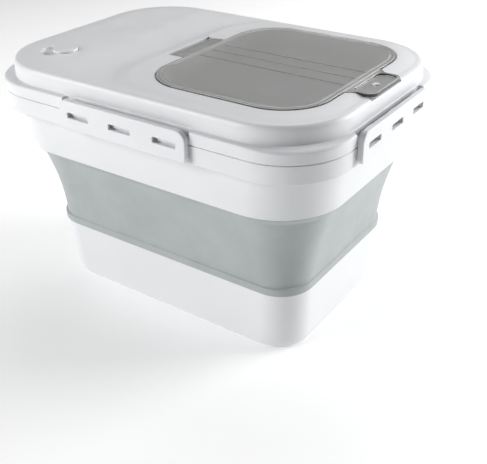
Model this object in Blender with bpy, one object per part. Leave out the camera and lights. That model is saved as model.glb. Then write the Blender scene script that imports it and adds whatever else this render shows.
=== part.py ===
"""Collapsible pet food bin.

A rigid tub and a rigid collar are joined by a folding rubber band, so that the collar can be pushed down
round the tub. A gasketed lid is held on the collar by four side latches, and carries a clear hatch and a
vent plug. The frame is metres, +Z up, with the origin on the floor under the middle and the hatch end at +X.
"""

import math

import bmesh
import bpy
from mathutils import Matrix, Vector

# Overall plan: the lid flange and the collar rim share this outline.
FLANGE_LENGTH = 0.430
FLANGE_WIDTH = 0.3100
FLANGE_CORNER = 0.0710

# Heights of the stacked parts.
BASE_GAP = 0.0012
TUB_HEIGHT = 0.0748
BAND_HEIGHT = 0.1054
COLLAR_HEIGHT = 0.0670
FLANGE_THICKNESS = 0.0138
SHOULDER_HEIGHT = 0.0186
HATCH_RISE = 0.0037

# Walls, the gaps between pieces that meet, small edge fillets, and how far a cutter passes a face.
WALL = 0.0024
RUBBER_WALL = 0.0020
FIT = 0.0003
EDGE = 0.0008
CUT_MARGIN = 0.0010

# Insets of each outline from the flange outline, and their corner radii.
TUB_FOOT_INSET = 0.0462
TUB_FOOT_CORNER = 0.0420
TUB_RIM_INSET = 0.0427
TUB_RIM_CORNER = 0.0396
COLLAR_FOOT_INSET = 0.0145
COLLAR_FOOT_CORNER = 0.0727
CREASE_INSET = 0.0064
CREASE_CORNER = 0.0794
SHOULDER_INSET = 0.0160
SHOULDER_CORNER = 0.0680
SHOULDER_FULLNESS = 0.5
SEAL_CORNER = 0.0777

# Tub and its feet.
TUB_EDGE_RADIUS = 0.0080
TUB_FLOOR = 0.0030
FOOT_RADIUS = 0.0110
FOOT_THICKNESS = 0.0024
FOOT_EDGE_DISTANCE = 0.0300

# Folding band: a lip over the tub's rim, a sloping wall and a shoulder under the collar.
LIP_HEIGHT = 0.0095
LIP_PROUD = 0.0016
BAND_SHOULDER = 0.0095
BAND_TONGUE = 0.0080
BAND_BOW = 0.0025
BAND_STEP = 0.0006

# Collar rim, its upstand and the hooks that the latches close over.
RIM_DEPTH = 0.0195
RIM_STEP = 0.0100
RIM_DRAFT = 0.0004
RIM_ROOT = 0.0020
UPSTAND_INSET = 0.0083
UPSTAND_WIDTH = 0.0026
UPSTAND_HEIGHT = 0.0055
HOOK_DEPTH = 0.0015
HOOK_HEIGHT = 0.0035
HOOK_LIFT = 0.0010
HOOK_END_GAP = 0.0020

# Lid: flange edge, seal channel, plug skirt, and the rise of the left side, the swale and the platform.
FLANGE_EDGE_RADIUS = 0.0030
FLANGE_FALL = 0.0004
CHANNEL_INSET = 0.0077
SKIRT_INSET = 0.0125
SKIRT_DROP = 0.0050
SKIRT_DRAFT = 0.0008
SEAL_THICKNESS = 0.0030
SEAL_CLEARANCE = 0.0008
CROWN_WIDTH = 0.0200
STORE_RISE = 0.0018
SWALE_DEPTH = 0.0030
SWALE_WIDTH = 0.0620
RAMP_WIDTH = 0.0200
PLATFORM_MARGIN = 0.0460
PLATFORM_CORNER = 0.0750

# Hatch: a clear panel with a finger tab at +X and a hinge tongue at -X.
HATCH_LENGTH = 0.1942
HATCH_END_MARGIN = 0.0190
HATCH_SIDE_MARGIN = 0.0220
HATCH_CORNER = 0.0513
HATCH_THICKNESS = 0.0026
HATCH_GAP = 0.0009
HATCH_RIM = 0.0050
HATCH_PROUD = 0.0007
SEAT_WIDTH = 0.0135
SEAT_DEPTH = 0.0046
MOUTH_DROP = 0.0080
HATCH_SEAL_WIDTH = 0.0030
TONGUE_LENGTH = 0.0220
TONGUE_WIDTH = 0.0760
TAB_LENGTH = 0.0285
TAB_WIDTH = 0.0660
TAB_ROOT_WIDTH = 0.0800
TAB_CORNER = 0.0095
TAB_RIM = 0.0032
TAB_THICKNESS = 0.0038
TAB_NOTCH_DEPTH = 0.0066
TAB_DROP = 0.0003
TAB_DISH = 0.0022
PANEL_DROP = 0.0005
HINGE_POCKET_MARGIN = 0.0020
PIN_GRIP = 0.0040
BARREL_RADIUS = 0.0030
BARREL_DROP = 0.0016
RIB_SPACING = 0.0220
RIB_WIDTH = 0.0020
RIB_DEPTH = 0.0009
RIB_START = 0.0110
STUD_RADIUS = 0.0026
STUD_STEM_RADIUS = 0.0018
STUD_SEAT_DEPTH = 0.0011
STUD_DISTANCE = 0.0148

# Vent plug, beside a finger scoop near the -X, -Y corner.
VENT_RADIUS = 0.0138
VENT_DISTANCE = 0.0542
VENT_CAP_HEIGHT = 0.0028
VENT_POCKET_DEPTH = 0.0026
VENT_PAD_WIDTH = 0.0040
VENT_SEAL_THICKNESS = 0.0012
VENT_SEAL_WIDTH = 0.0040
STEM_RADIUS = 0.0040
STEM_LENGTH = 0.0060
SCOOP_RADIUS = 0.0155
SCOOP_NARROWING = 0.65
SCOOP_DEPTH = 0.0045
SCOOP_OFFSET = 0.0120

# Side latches, hinged on pins in notches of the lid flange.
SIDE_LATCH_LENGTH = 0.1640
END_LATCH_MARGIN = 0.0088
LATCH_PROUD = 0.0065
LATCH_TOP = 0.0007
LATCH_HEIGHT = 0.0318
LATCH_CORNER = 0.0105
LATCH_GAP = 0.0005
LATCH_WALL = 0.0022
LATCH_HOLLOW = 0.0020
LATCH_SKIRT = 0.0120
SLOT_END_DISTANCE = 0.0255
SLOT_SHARE = 0.5
SLOT_HEIGHT = 0.0060
SLOT_DROP = 0.0128
CATCH_RIB_HEIGHT = 0.0034
NOTCH_DEPTH = 0.0060
NOTCH_CORNER = 0.0056
NOTCH_HEIGHT = 0.0076
PIN_RADIUS = 0.0012
PIN_DROP = 0.0038
PIN_INSET = 0.0008
PIN_END = 0.0015
KNUCKLE_RADIUS = 0.0025
KNUCKLE_WIDTH = 0.0120
LUG_RADIUS = 0.0021
LUG_WIDTH = 0.0040
LUG_END_INSET = 0.0120

# Facets.
SIDE_STEPS = 5
CORNER_STEPS = 6
ROUND_STEPS = 20
PIN_STEPS = 12

# Levels that follow from the stack.
HALF_LENGTH = FLANGE_LENGTH / 2
HALF_WIDTH = FLANGE_WIDTH / 2
TUB_TOP = BASE_GAP + TUB_HEIGHT
COLLAR_FOOT = TUB_TOP + BAND_HEIGHT
PARTING = COLLAR_FOOT + COLLAR_HEIGHT
CREASE = PARTING + FLANGE_THICKNESS
SHOULDER = CREASE + SHOULDER_HEIGHT
HATCH_TOP = SHOULDER + HATCH_RISE
PLATFORM_RISE = HATCH_RISE - HATCH_PROUD
HATCH_BOTTOM = HATCH_TOP - HATCH_THICKNESS
SEAT = SHOULDER + PLATFORM_RISE - SEAT_DEPTH
MOUTH_BOTTOM = SEAT - MOUTH_DROP

# Hatch outline: it keeps its margins to the lid's shoulder.
HATCH_HALF_LENGTH = HATCH_LENGTH / 2
HATCH_HALF_WIDTH = HALF_WIDTH - SHOULDER_INSET - HATCH_SIDE_MARGIN
HATCH_END = HALF_LENGTH - SHOULDER_INSET - HATCH_END_MARGIN
HATCH_X = HATCH_END - HATCH_HALF_LENGTH
HATCH_START = HATCH_END - HATCH_LENGTH
HINGE_X = HATCH_START - TONGUE_LENGTH + BARREL_RADIUS
HINGE_Z = HATCH_TOP - BARREL_DROP - BARREL_RADIUS
PLATFORM_START = HATCH_START - PLATFORM_MARGIN

VENT_X = -(HALF_LENGTH - SHOULDER_INSET - VENT_DISTANCE)
VENT_Y = -(HALF_WIDTH - SHOULDER_INSET - VENT_DISTANCE)
STUD_X = HATCH_END + STUD_DISTANCE

# The four sides: name, length of the latch, and the heading that its outer face has, in degrees.
END_LATCH_LENGTH = 2 * (HALF_WIDTH - FLANGE_CORNER - END_LATCH_MARGIN)
SIDES = (
    ("front", SIDE_LATCH_LENGTH, -90),
    ("back", SIDE_LATCH_LENGTH, 90),
    ("right", END_LATCH_LENGTH, 0),
    ("left", END_LATCH_LENGTH, 180),
)

MATERIALS = {
    "white_plastic": ((0.84, 0.85, 0.87, 1.0), 0.38, 0.0),
    "grey_rubber": ((0.42, 0.46, 0.45, 1.0), 0.62, 0.0),
    "clear_smoke": ((0.30, 0.30, 0.30, 0.55), 0.12, 0.0),
    "silicone": ((0.72, 0.73, 0.72, 1.0), 0.55, 0.0),
    "steel": ((0.62, 0.63, 0.65, 1.0), 0.30, 1.0),
    "dark_rubber": ((0.10, 0.10, 0.10, 1.0), 0.70, 0.0),
}


# ---- Shapes ----


def outline(half_x, half_y, radius, centre_x=0.0, side_steps=1):
    """Points of a rectangle with round corners, anticlockwise from +X. side_steps splits the long sides."""
    points = []
    for quarter in range(4):
        sign_x = 1 if quarter in (0, 3) else -1
        sign_y = 1 if quarter in (0, 1) else -1
        hub_x = centre_x + sign_x * (half_x - radius)
        hub_y = sign_y * (half_y - radius)
        for step in range(CORNER_STEPS + 1):
            angle = math.pi / 2 * (quarter + step / CORNER_STEPS)
            points.append((hub_x + radius * math.cos(angle), hub_y + radius * math.sin(angle)))
        if quarter in (0, 2):
            run = -2 * sign_x * (half_x - radius)
            for step in range(1, side_steps):
                points.append((hub_x + run * step / side_steps, sign_y * half_y))
    return points


def ring(inset, corner, height, side_steps=1):
    """The flange outline moved inward by inset, at one height."""
    flat = outline(HALF_LENGTH - inset, HALF_WIDTH - inset, corner, side_steps=side_steps)
    return [(x, y, height) for x, y in flat]


def hatch_ring(grow, height, side_steps=1):
    """The hatch outline moved outward by grow, at one height."""
    flat = outline(
        HATCH_HALF_LENGTH + grow, HATCH_HALF_WIDTH + grow, HATCH_CORNER + grow, HATCH_X, side_steps
    )
    return [(x, y, height) for x, y in flat]


def loft(rings, closed):
    """A solid through rings of equal length: a closed loop of rings, or a stack with both ends capped."""
    shape = bmesh.new()
    rows = [[shape.verts.new(point) for point in points] for points in rings]
    count = len(rows[0])
    pairs = list(zip(rows, rows[1:]))
    if closed:
        pairs.append((rows[-1], rows[0]))
    else:
        shape.faces.new(rows[0])
        shape.faces.new(rows[-1])
    for low, high in pairs:
        for i in range(count):
            j = (i + 1) % count
            shape.faces.new((low[i], low[j], high[j], high[i]))
    bmesh.ops.recalc_face_normals(shape, faces=shape.faces)
    return shape


def prism(polygon, low, high):
    """A solid from a polygon of (x, y) points between two heights."""
    return loft([[(x, y, low) for x, y in polygon], [(x, y, high) for x, y in polygon]], closed=False)


def box(low, high):
    """A box between two corners."""
    flat = [(low[0], low[1]), (high[0], low[1]), (high[0], high[1]), (low[0], high[1])]
    return prism(flat, low[2], high[2])


def turned(profile, steps=ROUND_STEPS):
    """A solid turned about Z from (radius, height) points; its two ends are flat discs."""
    rings = []
    for radius, height in profile:
        turns = [math.tau * step / steps for step in range(steps)]
        rings.append([(radius * math.cos(turn), radius * math.sin(turn), height) for turn in turns])
    return loft(rings, closed=False)


def washer(inner, outer, low, high):
    """A flat ring about Z."""
    rings = []
    for radius, height in ((outer, low), (outer, high), (inner, high), (inner, low)):
        turns = [math.tau * step / ROUND_STEPS for step in range(ROUND_STEPS)]
        rings.append([(radius * math.cos(turn), radius * math.sin(turn), height) for turn in turns])
    return loft(rings, closed=True)


def rod(radius, start, end, steps=PIN_STEPS):
    """A round bar from start to end."""
    start, end = Vector(start), Vector(end)
    shape = turned([(radius, 0.0), (radius, (end - start).length)], steps)
    turn = (end - start).to_track_quat("Z", "Y").to_matrix().to_4x4()
    bmesh.ops.transform(shape, matrix=Matrix.Translation(start) @ turn, verts=shape.verts)
    return shape


def moved(shape, matrix):
    bmesh.ops.transform(shape, matrix=matrix, verts=shape.verts)
    return shape


# ---- Objects ----


def clear_scene():
    for item in list(bpy.data.objects):
        bpy.data.objects.remove(item, do_unlink=True)


def material(name):
    found = bpy.data.materials.get(name)
    if found:
        return found
    colour, roughness, metallic = MATERIALS[name]
    made = bpy.data.materials.new(name)
    made.use_nodes = True
    shader = made.node_tree.nodes["Principled BSDF"]
    shader.inputs["Base Color"].default_value = colour
    shader.inputs["Roughness"].default_value = roughness
    shader.inputs["Metallic"].default_value = metallic
    shader.inputs["Alpha"].default_value = colour[3]
    made.diffuse_color = colour
    return made


def piece(name, shape, material_name, pivot=(0.0, 0.0, 0.0)):
    """One named object whose origin is at pivot."""
    mesh = bpy.data.meshes.new(name)
    bmesh.ops.translate(shape, vec=-Vector(pivot), verts=shape.verts)
    shape.to_mesh(mesh)
    shape.free()
    mesh.shade_smooth()
    mesh.set_sharp_from_angle(angle=math.radians(30))
    mesh.materials.append(material(material_name))
    made = bpy.data.objects.new(name, mesh)
    made.location = pivot
    bpy.context.scene.collection.objects.link(made)
    return made


def combine(target, shape, operation):
    """Adds a Boolean of shape to target; the helper stays in the file as a hidden wire."""
    mesh = bpy.data.meshes.new(f"{target.name}_tool")
    bmesh.ops.translate(shape, vec=-target.location, verts=shape.verts)
    bmesh.ops.recalc_face_normals(shape, faces=shape.faces)
    shape.to_mesh(mesh)
    shape.free()
    tool = bpy.data.objects.new(f"{target.name}_tool", mesh)
    tool.location = target.location
    tool.hide_render = True
    tool.display_type = "WIRE"
    bpy.context.scene.collection.objects.link(tool)
    modifier = target.modifiers.new(operation.lower(), "BOOLEAN")
    modifier.operation = operation
    modifier.object = tool


def add(target, shape):
    combine(target, shape, "UNION")


def cut(target, shape):
    combine(target, shape, "DIFFERENCE")


# ---- Tub, band and collar ----


def make_tub():
    """The rigid lower tub: a drafted pot with a rounded bottom edge."""
    outer = []
    for step in range(4):
        angle = math.pi / 2 * step / 3
        inset = TUB_FOOT_INSET + TUB_EDGE_RADIUS * (1 - math.sin(angle))
        height = BASE_GAP + TUB_EDGE_RADIUS * (1 - math.cos(angle))
        outer.append(ring(inset, TUB_FOOT_CORNER, height))
    outer.append(ring(TUB_RIM_INSET, TUB_RIM_CORNER, TUB_TOP))
    outer.append(ring(TUB_RIM_INSET, TUB_RIM_CORNER, TUB_TOP + LIP_HEIGHT - RUBBER_WALL))
    floor = BASE_GAP + TUB_FLOOR
    inner = [
        ring(TUB_RIM_INSET + WALL, TUB_RIM_CORNER - WALL, TUB_TOP + LIP_HEIGHT - RUBBER_WALL),
        ring(TUB_RIM_INSET + WALL, TUB_RIM_CORNER - WALL, TUB_TOP),
        ring(TUB_FOOT_INSET + WALL, TUB_FOOT_CORNER - WALL, BASE_GAP + TUB_EDGE_RADIUS),
        ring(TUB_FOOT_INSET + TUB_EDGE_RADIUS, TUB_FOOT_CORNER - WALL, floor),
    ]
    tub = piece("lower_tub", loft(outer + inner, closed=False), "white_plastic")
    pocket_depth = FOOT_THICKNESS - BASE_GAP + FIT
    for _, x, y in feet():
        pocket = turned([(FOOT_RADIUS + FIT, -CUT_MARGIN), (FOOT_RADIUS + FIT, BASE_GAP + pocket_depth)])
        cut(tub, moved(pocket, Matrix.Translation((x, y, 0.0))))


def feet():
    """Name and place of each foot, in from the corners of the tub's base."""
    x = HALF_LENGTH - TUB_FOOT_INSET - FOOT_EDGE_DISTANCE
    y = HALF_WIDTH - TUB_FOOT_INSET - FOOT_EDGE_DISTANCE
    return (
        ("foot_front_left", -x, -y),
        ("foot_front_right", x, -y),
        ("foot_back_left", -x, y),
        ("foot_back_right", x, y),
    )


def make_feet():
    for name, x, y in feet():
        shape = turned([(FOOT_RADIUS - EDGE, 0.0), (FOOT_RADIUS, EDGE), (FOOT_RADIUS, FOOT_THICKNESS)])
        piece(name, moved(shape, Matrix.Translation((x, y, 0.0))), "dark_rubber")


def band_wall(share):
    """Inset, corner radius and height of the band's outer face, from its lip (0) to its shoulder (1)."""
    low_inset = TUB_RIM_INSET - LIP_PROUD
    high_inset = COLLAR_FOOT_INSET + BAND_SHOULDER
    bow = BAND_BOW * math.sin(math.pi * share)
    inset = low_inset + (high_inset - low_inset) * share + bow
    corner = TUB_RIM_CORNER + (COLLAR_FOOT_CORNER - BAND_SHOULDER - TUB_RIM_CORNER) * share
    low = TUB_TOP + LIP_HEIGHT
    height = low + (COLLAR_FOOT - BAND_SHOULDER - low) * share
    return inset, corner, height


def make_band():
    """The folding rubber band, overlapping the tub's rim outside and the collar's foot inside."""
    low_inset = TUB_RIM_INSET - LIP_PROUD
    tongue_inset = COLLAR_FOOT_INSET + WALL + FIT
    tongue_corner = COLLAR_FOOT_CORNER - WALL - FIT
    wall = [band_wall(step / 5) for step in range(6)]
    section = [(TUB_RIM_INSET - FIT, TUB_RIM_CORNER + FIT, TUB_TOP + FIT)]
    section.append((low_inset, TUB_RIM_CORNER, TUB_TOP + FIT))
    section += wall
    section.append((COLLAR_FOOT_INSET + BAND_STEP, COLLAR_FOOT_CORNER, COLLAR_FOOT - FIT))
    section.append((tongue_inset, tongue_corner, COLLAR_FOOT - FIT))
    section.append((tongue_inset, tongue_corner, COLLAR_FOOT + BAND_TONGUE))
    inner_inset = tongue_inset + RUBBER_WALL
    section.append((inner_inset, tongue_corner - RUBBER_WALL, COLLAR_FOOT + BAND_TONGUE))
    section.append((inner_inset, tongue_corner - RUBBER_WALL, COLLAR_FOOT - FIT - RUBBER_WALL))
    for inset, corner, height in reversed(wall[1:]):
        section.append((inset + RUBBER_WALL, corner - RUBBER_WALL, height + FIT))
    lip_top = TUB_TOP + LIP_HEIGHT - RUBBER_WALL + FIT
    section.append((TUB_RIM_INSET + RUBBER_WALL, TUB_RIM_CORNER - RUBBER_WALL, lip_top + RUBBER_WALL))
    section.append((TUB_RIM_INSET + RUBBER_WALL, TUB_RIM_CORNER - RUBBER_WALL, lip_top))
    section.append((TUB_RIM_INSET - FIT, TUB_RIM_CORNER + FIT, lip_top))
    piece("folding_band", loft([ring(*place) for place in section], closed=True), "grey_rubber")


def make_collar():
    """The rigid upper collar: a drafted wall, an overhanging rim, an upstand for the seal, and hooks."""
    step_height = PARTING - RIM_DEPTH
    wall_corner = SEAL_CORNER - RIM_STEP
    upstand_top = PARTING + UPSTAND_HEIGHT
    upstand_inner = UPSTAND_INSET + UPSTAND_WIDTH
    section = [
        (COLLAR_FOOT_INSET, COLLAR_FOOT_CORNER, COLLAR_FOOT),
        (RIM_STEP, wall_corner, step_height + RIM_ROOT),
        (RIM_STEP - RIM_DRAFT, wall_corner + RIM_DRAFT, PARTING - WALL - FIT),
        (WALL, FLANGE_CORNER - WALL, PARTING - WALL - FIT),
        (WALL + RIM_DRAFT / 2, FLANGE_CORNER - WALL, step_height),
        (RIM_DRAFT, FLANGE_CORNER - RIM_DRAFT, step_height),
        (0.0, FLANGE_CORNER, PARTING - FIT - EDGE),
        (EDGE, FLANGE_CORNER - EDGE, PARTING - FIT),
        (UPSTAND_INSET, SEAL_CORNER - UPSTAND_INSET, PARTING - FIT),
        (UPSTAND_INSET, SEAL_CORNER - UPSTAND_INSET, upstand_top),
        (upstand_inner, SEAL_CORNER - upstand_inner, upstand_top),
        (RIM_STEP + WALL, wall_corner - WALL, step_height + RIM_ROOT),
        (COLLAR_FOOT_INSET + WALL, COLLAR_FOOT_CORNER - WALL, COLLAR_FOOT),
    ]
    collar = piece("upper_collar", loft([ring(*place) for place in section], closed=True), "white_plastic")
    hook_foot = CREASE + LATCH_TOP - SLOT_DROP - SLOT_HEIGHT + HOOK_LIFT
    for _, length, heading in SIDES:
        half = slot_length(length) / 2 - HOOK_END_GAP
        for offset in slot_offsets(length):
            low = (-CUT_MARGIN, offset - half, hook_foot)
            high = (HOOK_DEPTH, offset + half, hook_foot + HOOK_HEIGHT)
            add(collar, moved(box(low, high), side_frame(heading)))


# ---- Lid ----


def blend(value):
    """0 to 1 with level ends."""
    value = min(max(value, 0.0), 1.0)
    return value * value * (3 - 2 * value)


def inside_distance(x, y, half_x, half_y, corner):
    """How far a point is inside a round-cornered rectangle; negative outside."""
    over_x = abs(x) - (half_x - corner)
    over_y = abs(y) - (half_y - corner)
    if over_x > 0 and over_y > 0:
        return corner - math.hypot(over_x, over_y)
    return corner - max(over_x, over_y)


def top_height(x, y):
    """The lid's upper face: crowned to its shoulder, with a swale between the vent side and the platform."""
    depth = inside_distance(
        x, y, HALF_LENGTH - SHOULDER_INSET, HALF_WIDTH - SHOULDER_INSET, SHOULDER_CORNER
    )
    crown = 1 - (1 - min(max(depth / CROWN_WIDTH, 0.0), 1.0)) ** 2
    half_platform = HALF_LENGTH - PLATFORM_START
    half_across = HALF_WIDTH - SHOULDER_INSET + RAMP_WIDTH / 2
    on_ramp = inside_distance(x - HALF_LENGTH, y, half_platform, half_across, PLATFORM_CORNER)
    on_platform = blend(on_ramp / RAMP_WIDTH)
    into_swale = blend((x - PLATFORM_START + SWALE_WIDTH) / SWALE_WIDTH)
    store_side = STORE_RISE - SWALE_DEPTH * into_swale
    rise = store_side + (PLATFORM_RISE - store_side) * on_platform
    return SHOULDER + crown * rise


def shoulder_rings(thickness, side_steps):
    """The raised wall's rings from crease to shoulder; thickness moves them inside the wall."""
    made = []
    for step in range(1, 6):
        angle = math.pi / 2 * step / 5
        share = 1 - math.cos(angle) ** SHOULDER_FULLNESS
        inset = CREASE_INSET + (SHOULDER_INSET - CREASE_INSET) * share
        corner = CREASE_CORNER + (SHOULDER_CORNER - CREASE_CORNER) * share
        height = CREASE + SHOULDER_HEIGHT * math.sin(angle) ** SHOULDER_FULLNESS
        drop = thickness * math.sin(angle)
        made.append(ring(inset + thickness, corner - thickness, height - drop, side_steps))
    return made


def between(outer, inner, share, drop):
    """A ring part way between two others, laid on the lid's upper face less drop."""
    made = []
    for (x0, y0, _), (x1, y1, _) in zip(outer, inner):
        x = x0 + (x1 - x0) * share
        y = y0 + (y1 - y0) * share
        made.append((x, y, top_height(x, y) - drop))
    return made


def lid_rings():
    """Every ring of the lid's section, from the flange's foot over the top to the hatch and back beneath."""
    steps = SIDE_STEPS

    def seal(inset, height):
        return ring(inset, SEAL_CORNER - inset, height, steps)

    def flange(inset, height):
        return ring(inset, FLANGE_CORNER - inset, height, steps)

    def mouth(grow, height):
        return hatch_ring(grow - SEAT_WIDTH, height, steps)

    foot = PARTING + FIT
    roof = PARTING + UPSTAND_HEIGHT + SEAL_THICKNESS + 2 * FIT
    edge = ring(SHOULDER_INSET, SHOULDER_CORNER, SHOULDER, steps)
    recess = hatch_ring(HATCH_GAP, SEAT, steps)
    under_edge = ring(SHOULDER_INSET + WALL, SHOULDER_CORNER - WALL, SHOULDER, steps)
    under_recess = hatch_ring(HATCH_GAP + WALL, SEAT, steps)
    rings = [flange(EDGE, foot), flange(0.0, foot + EDGE)]
    for step in range(4):
        angle = math.pi / 2 * step / 3
        fall = FLANGE_FALL + FLANGE_EDGE_RADIUS * (1 - math.sin(angle))
        rings.append(flange(FLANGE_EDGE_RADIUS * (1 - math.cos(angle)), CREASE - fall))
    rings.append(ring(CREASE_INSET, CREASE_CORNER, CREASE, steps))
    rings += shoulder_rings(0.0, steps)
    rings += [between(edge, recess, share, 0.0) for share in (0.12, 0.3, 0.5, 0.7, 0.85, 0.94, 1.0)]
    rings += [hatch_ring(HATCH_GAP, SEAT, steps), mouth(0.0, SEAT)]
    rings += [mouth(0.0, MOUTH_BOTTOM), mouth(WALL, MOUTH_BOTTOM), mouth(WALL, SEAT - WALL)]
    rings.append(hatch_ring(HATCH_GAP + WALL, SEAT - WALL, steps))
    rings += [between(under_edge, under_recess, share, WALL) for share in (0.97, 0.7, 0.5, 0.3, 0.12)]
    rings += reversed(shoulder_rings(WALL, steps)[1:])
    skirt_inner = SKIRT_INSET + WALL
    rings += [seal(skirt_inner, CREASE - CUT_MARGIN), seal(skirt_inner, PARTING - SKIRT_DROP)]
    rings += [seal(SKIRT_INSET + SKIRT_DRAFT, PARTING - SKIRT_DROP), seal(SKIRT_INSET, roof)]
    rings += [seal(CHANNEL_INSET, roof), seal(CHANNEL_INSET, foot)]
    return rings


def make_lid():
    """The lid shell with its hatch seat, hinge pocket, tab notch, vent pocket and latch notches."""
    lid = piece("lid_shell", loft(lid_rings(), closed=True), "white_plastic")
    add_hatch_mountings(lid)
    add_vent_pocket(lid)
    for _, length, heading in SIDES:
        add_latch_hinge(lid, length, side_frame(heading))


def add_hatch_mountings(lid):
    """Pads under the lid's skin, with the hinge pocket, the tab notch and the stud's seat cut in them."""
    above = HATCH_TOP + CUT_MARGIN
    half_tongue = TONGUE_WIDTH / 2 + 2 * FIT
    pocket_floor = HINGE_Z - BARREL_RADIUS - 2 * FIT
    back = HINGE_X - BARREL_RADIUS - HINGE_POCKET_MARGIN
    pad_side = TONGUE_WIDTH / 2 + PIN_GRIP + WALL
    pad_low = (back - WALL, -pad_side, pocket_floor - WALL)
    add(lid, box(pad_low, (HATCH_START - HATCH_GAP - FIT, pad_side, SHOULDER - EDGE)))
    low = (back, -half_tongue, pocket_floor)
    cut(lid, box(low, (HATCH_START + SEAT_WIDTH / 2, half_tongue, above)))
    pin_reach = TONGUE_WIDTH / 2 + PIN_GRIP + 2 * FIT
    cut(lid, rod(PIN_RADIUS + FIT, (HINGE_X, -pin_reach, HINGE_Z), (HINGE_X, pin_reach, HINGE_Z)))
    notch_floor = HATCH_TOP - TAB_NOTCH_DEPTH
    half_tab = TAB_ROOT_WIDTH / 2 + WALL
    pad_low = (HATCH_END - CUT_MARGIN, -half_tab, notch_floor - WALL)
    add(lid, box(pad_low, (HALF_LENGTH - SHOULDER_INSET + WALL, half_tab, notch_floor + EDGE)))
    notch = tab_outline(2 * FIT, HATCH_END - 2 * CUT_MARGIN, HALF_LENGTH + CUT_MARGIN)
    cut(lid, prism(notch, notch_floor, above))
    hole = STUD_STEM_RADIUS + FIT
    stud_seat = turned([(hole, notch_floor - STUD_SEAT_DEPTH - FIT), (hole, notch_floor + CUT_MARGIN)])
    cut(lid, moved(stud_seat, Matrix.Translation((STUD_X, 0.0, 0.0))))


def vent_floor():
    return top_height(VENT_X, VENT_Y) - VENT_POCKET_DEPTH


def add_vent_pocket(lid):
    """The round pocket that the vent plug sits in, and the finger scoop beside it."""
    floor = vent_floor()
    place = Matrix.Translation((VENT_X, VENT_Y, 0.0))
    pad = VENT_RADIUS + VENT_PAD_WIDTH
    add(lid, moved(turned([(pad, floor - WALL), (pad, floor + EDGE)]), place))
    scoop_x, scoop_y = VENT_X - SCOOP_OFFSET, VENT_Y - SCOOP_OFFSET
    scoop_place = Matrix.Translation((scoop_x, scoop_y, top_height(VENT_X, VENT_Y)))
    scoop_place @= Matrix.Rotation(math.pi / 4, 4, "Z") @ Matrix.Diagonal((SCOOP_NARROWING, 1.0, 1.0, 1.0))
    backing = [(SCOOP_RADIUS, -SCOOP_DEPTH - WALL), (SCOOP_RADIUS + WALL, EDGE - WALL)]
    add(lid, moved(turned(backing), scoop_place))
    dish = []
    for step in range(1, 6):
        angle = math.pi / 2 * step / 5
        dish.append((SCOOP_RADIUS * math.sin(angle), -SCOOP_DEPTH * math.cos(angle)))
    dish.append((SCOOP_RADIUS, HATCH_TOP - SHOULDER))
    cut(lid, moved(turned(dish), scoop_place))
    pocket, hole = VENT_RADIUS + 2 * FIT, STEM_RADIUS + FIT
    cut(lid, moved(turned([(pocket, floor), (pocket, HATCH_TOP)]), place))
    cut(lid, moved(turned([(hole, floor - STEM_LENGTH - FIT), (hole, floor + CUT_MARGIN)]), place))


# ---- Latches ----


def side_frame(heading):
    """Places a side's own frame: +X outward from the flange face, Y along the side, Z up."""
    turn = math.radians(heading)
    reach = HALF_LENGTH if heading in (0, 180) else HALF_WIDTH
    return Matrix.Rotation(turn, 4, "Z") @ Matrix.Translation((reach, 0.0, 0.0))


def slot_offsets(length):
    """Where a latch's three slots, and the knuckles above them, lie along it."""
    pitch = length / 2 - SLOT_END_DISTANCE
    return (-pitch, 0.0, pitch)


def slot_length(length):
    return SLOT_SHARE * (length / 2 - SLOT_END_DISTANCE)


def lug_offsets(length):
    """Where the lid's hinge lugs lie along a latch: near its ends and between its knuckles."""
    end = length / 2 - LUG_END_INSET
    middle = (length / 2 - SLOT_END_DISTANCE) / 2
    return (-end, -middle, middle, end)


def notch_outline(half):
    """The notch's plan, as (outward, along) points, with its two inner corners rounded."""
    corner = []
    for step in range(4):
        angle = math.pi / 2 * step / 3
        out = NOTCH_CORNER * (1 - math.sin(angle)) - NOTCH_DEPTH
        corner.append((out, half - NOTCH_CORNER * (1 - math.cos(angle))))
    mirrored = [(out, -along) for out, along in reversed(corner)]
    return [(CUT_MARGIN, -half), (CUT_MARGIN, half)] + corner + mirrored


def add_latch_hinge(lid, length, frame):
    """The notch in the flange that a latch hangs in, with the lugs that hold its pin."""
    half = length / 2 + 2 * FIT
    floor = CREASE - NOTCH_HEIGHT
    cut(lid, moved(prism(notch_outline(half), floor, CREASE + CUT_MARGIN), frame))
    axis_z = CREASE - PIN_DROP
    root = floor - CUT_MARGIN
    for offset in lug_offsets(length):
        profile = [(-PIN_INSET + LUG_RADIUS, root), (-PIN_INSET - LUG_RADIUS, root)]
        for step in range(7):
            angle = math.pi * (1 - step / 6)
            profile.append((LUG_RADIUS * math.cos(angle) - PIN_INSET, axis_z + LUG_RADIUS * math.sin(angle)))
        add(lid, moved(along_side(profile, offset - LUG_WIDTH / 2, offset + LUG_WIDTH / 2), frame))
    cut(lid, moved(pin_bar(length, PIN_RADIUS + FIT, FIT), frame))


def along_side(profile, start, end):
    """A solid with an (outward, up) profile, running along a side from start to end."""
    rings = [[(out, start, up) for out, up in profile], [(out, end, up) for out, up in profile]]
    return loft(rings, closed=False)


def pin_bar(length, radius, extra):
    """A latch's pin, or the bore for it, which ends extra further out."""
    reach = length / 2 - LUG_END_INSET + LUG_WIDTH / 2 + PIN_END + extra
    axis_z = CREASE - PIN_DROP
    return rod(radius, (-PIN_INSET, -reach, axis_z), (-PIN_INSET, reach, axis_z))


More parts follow.
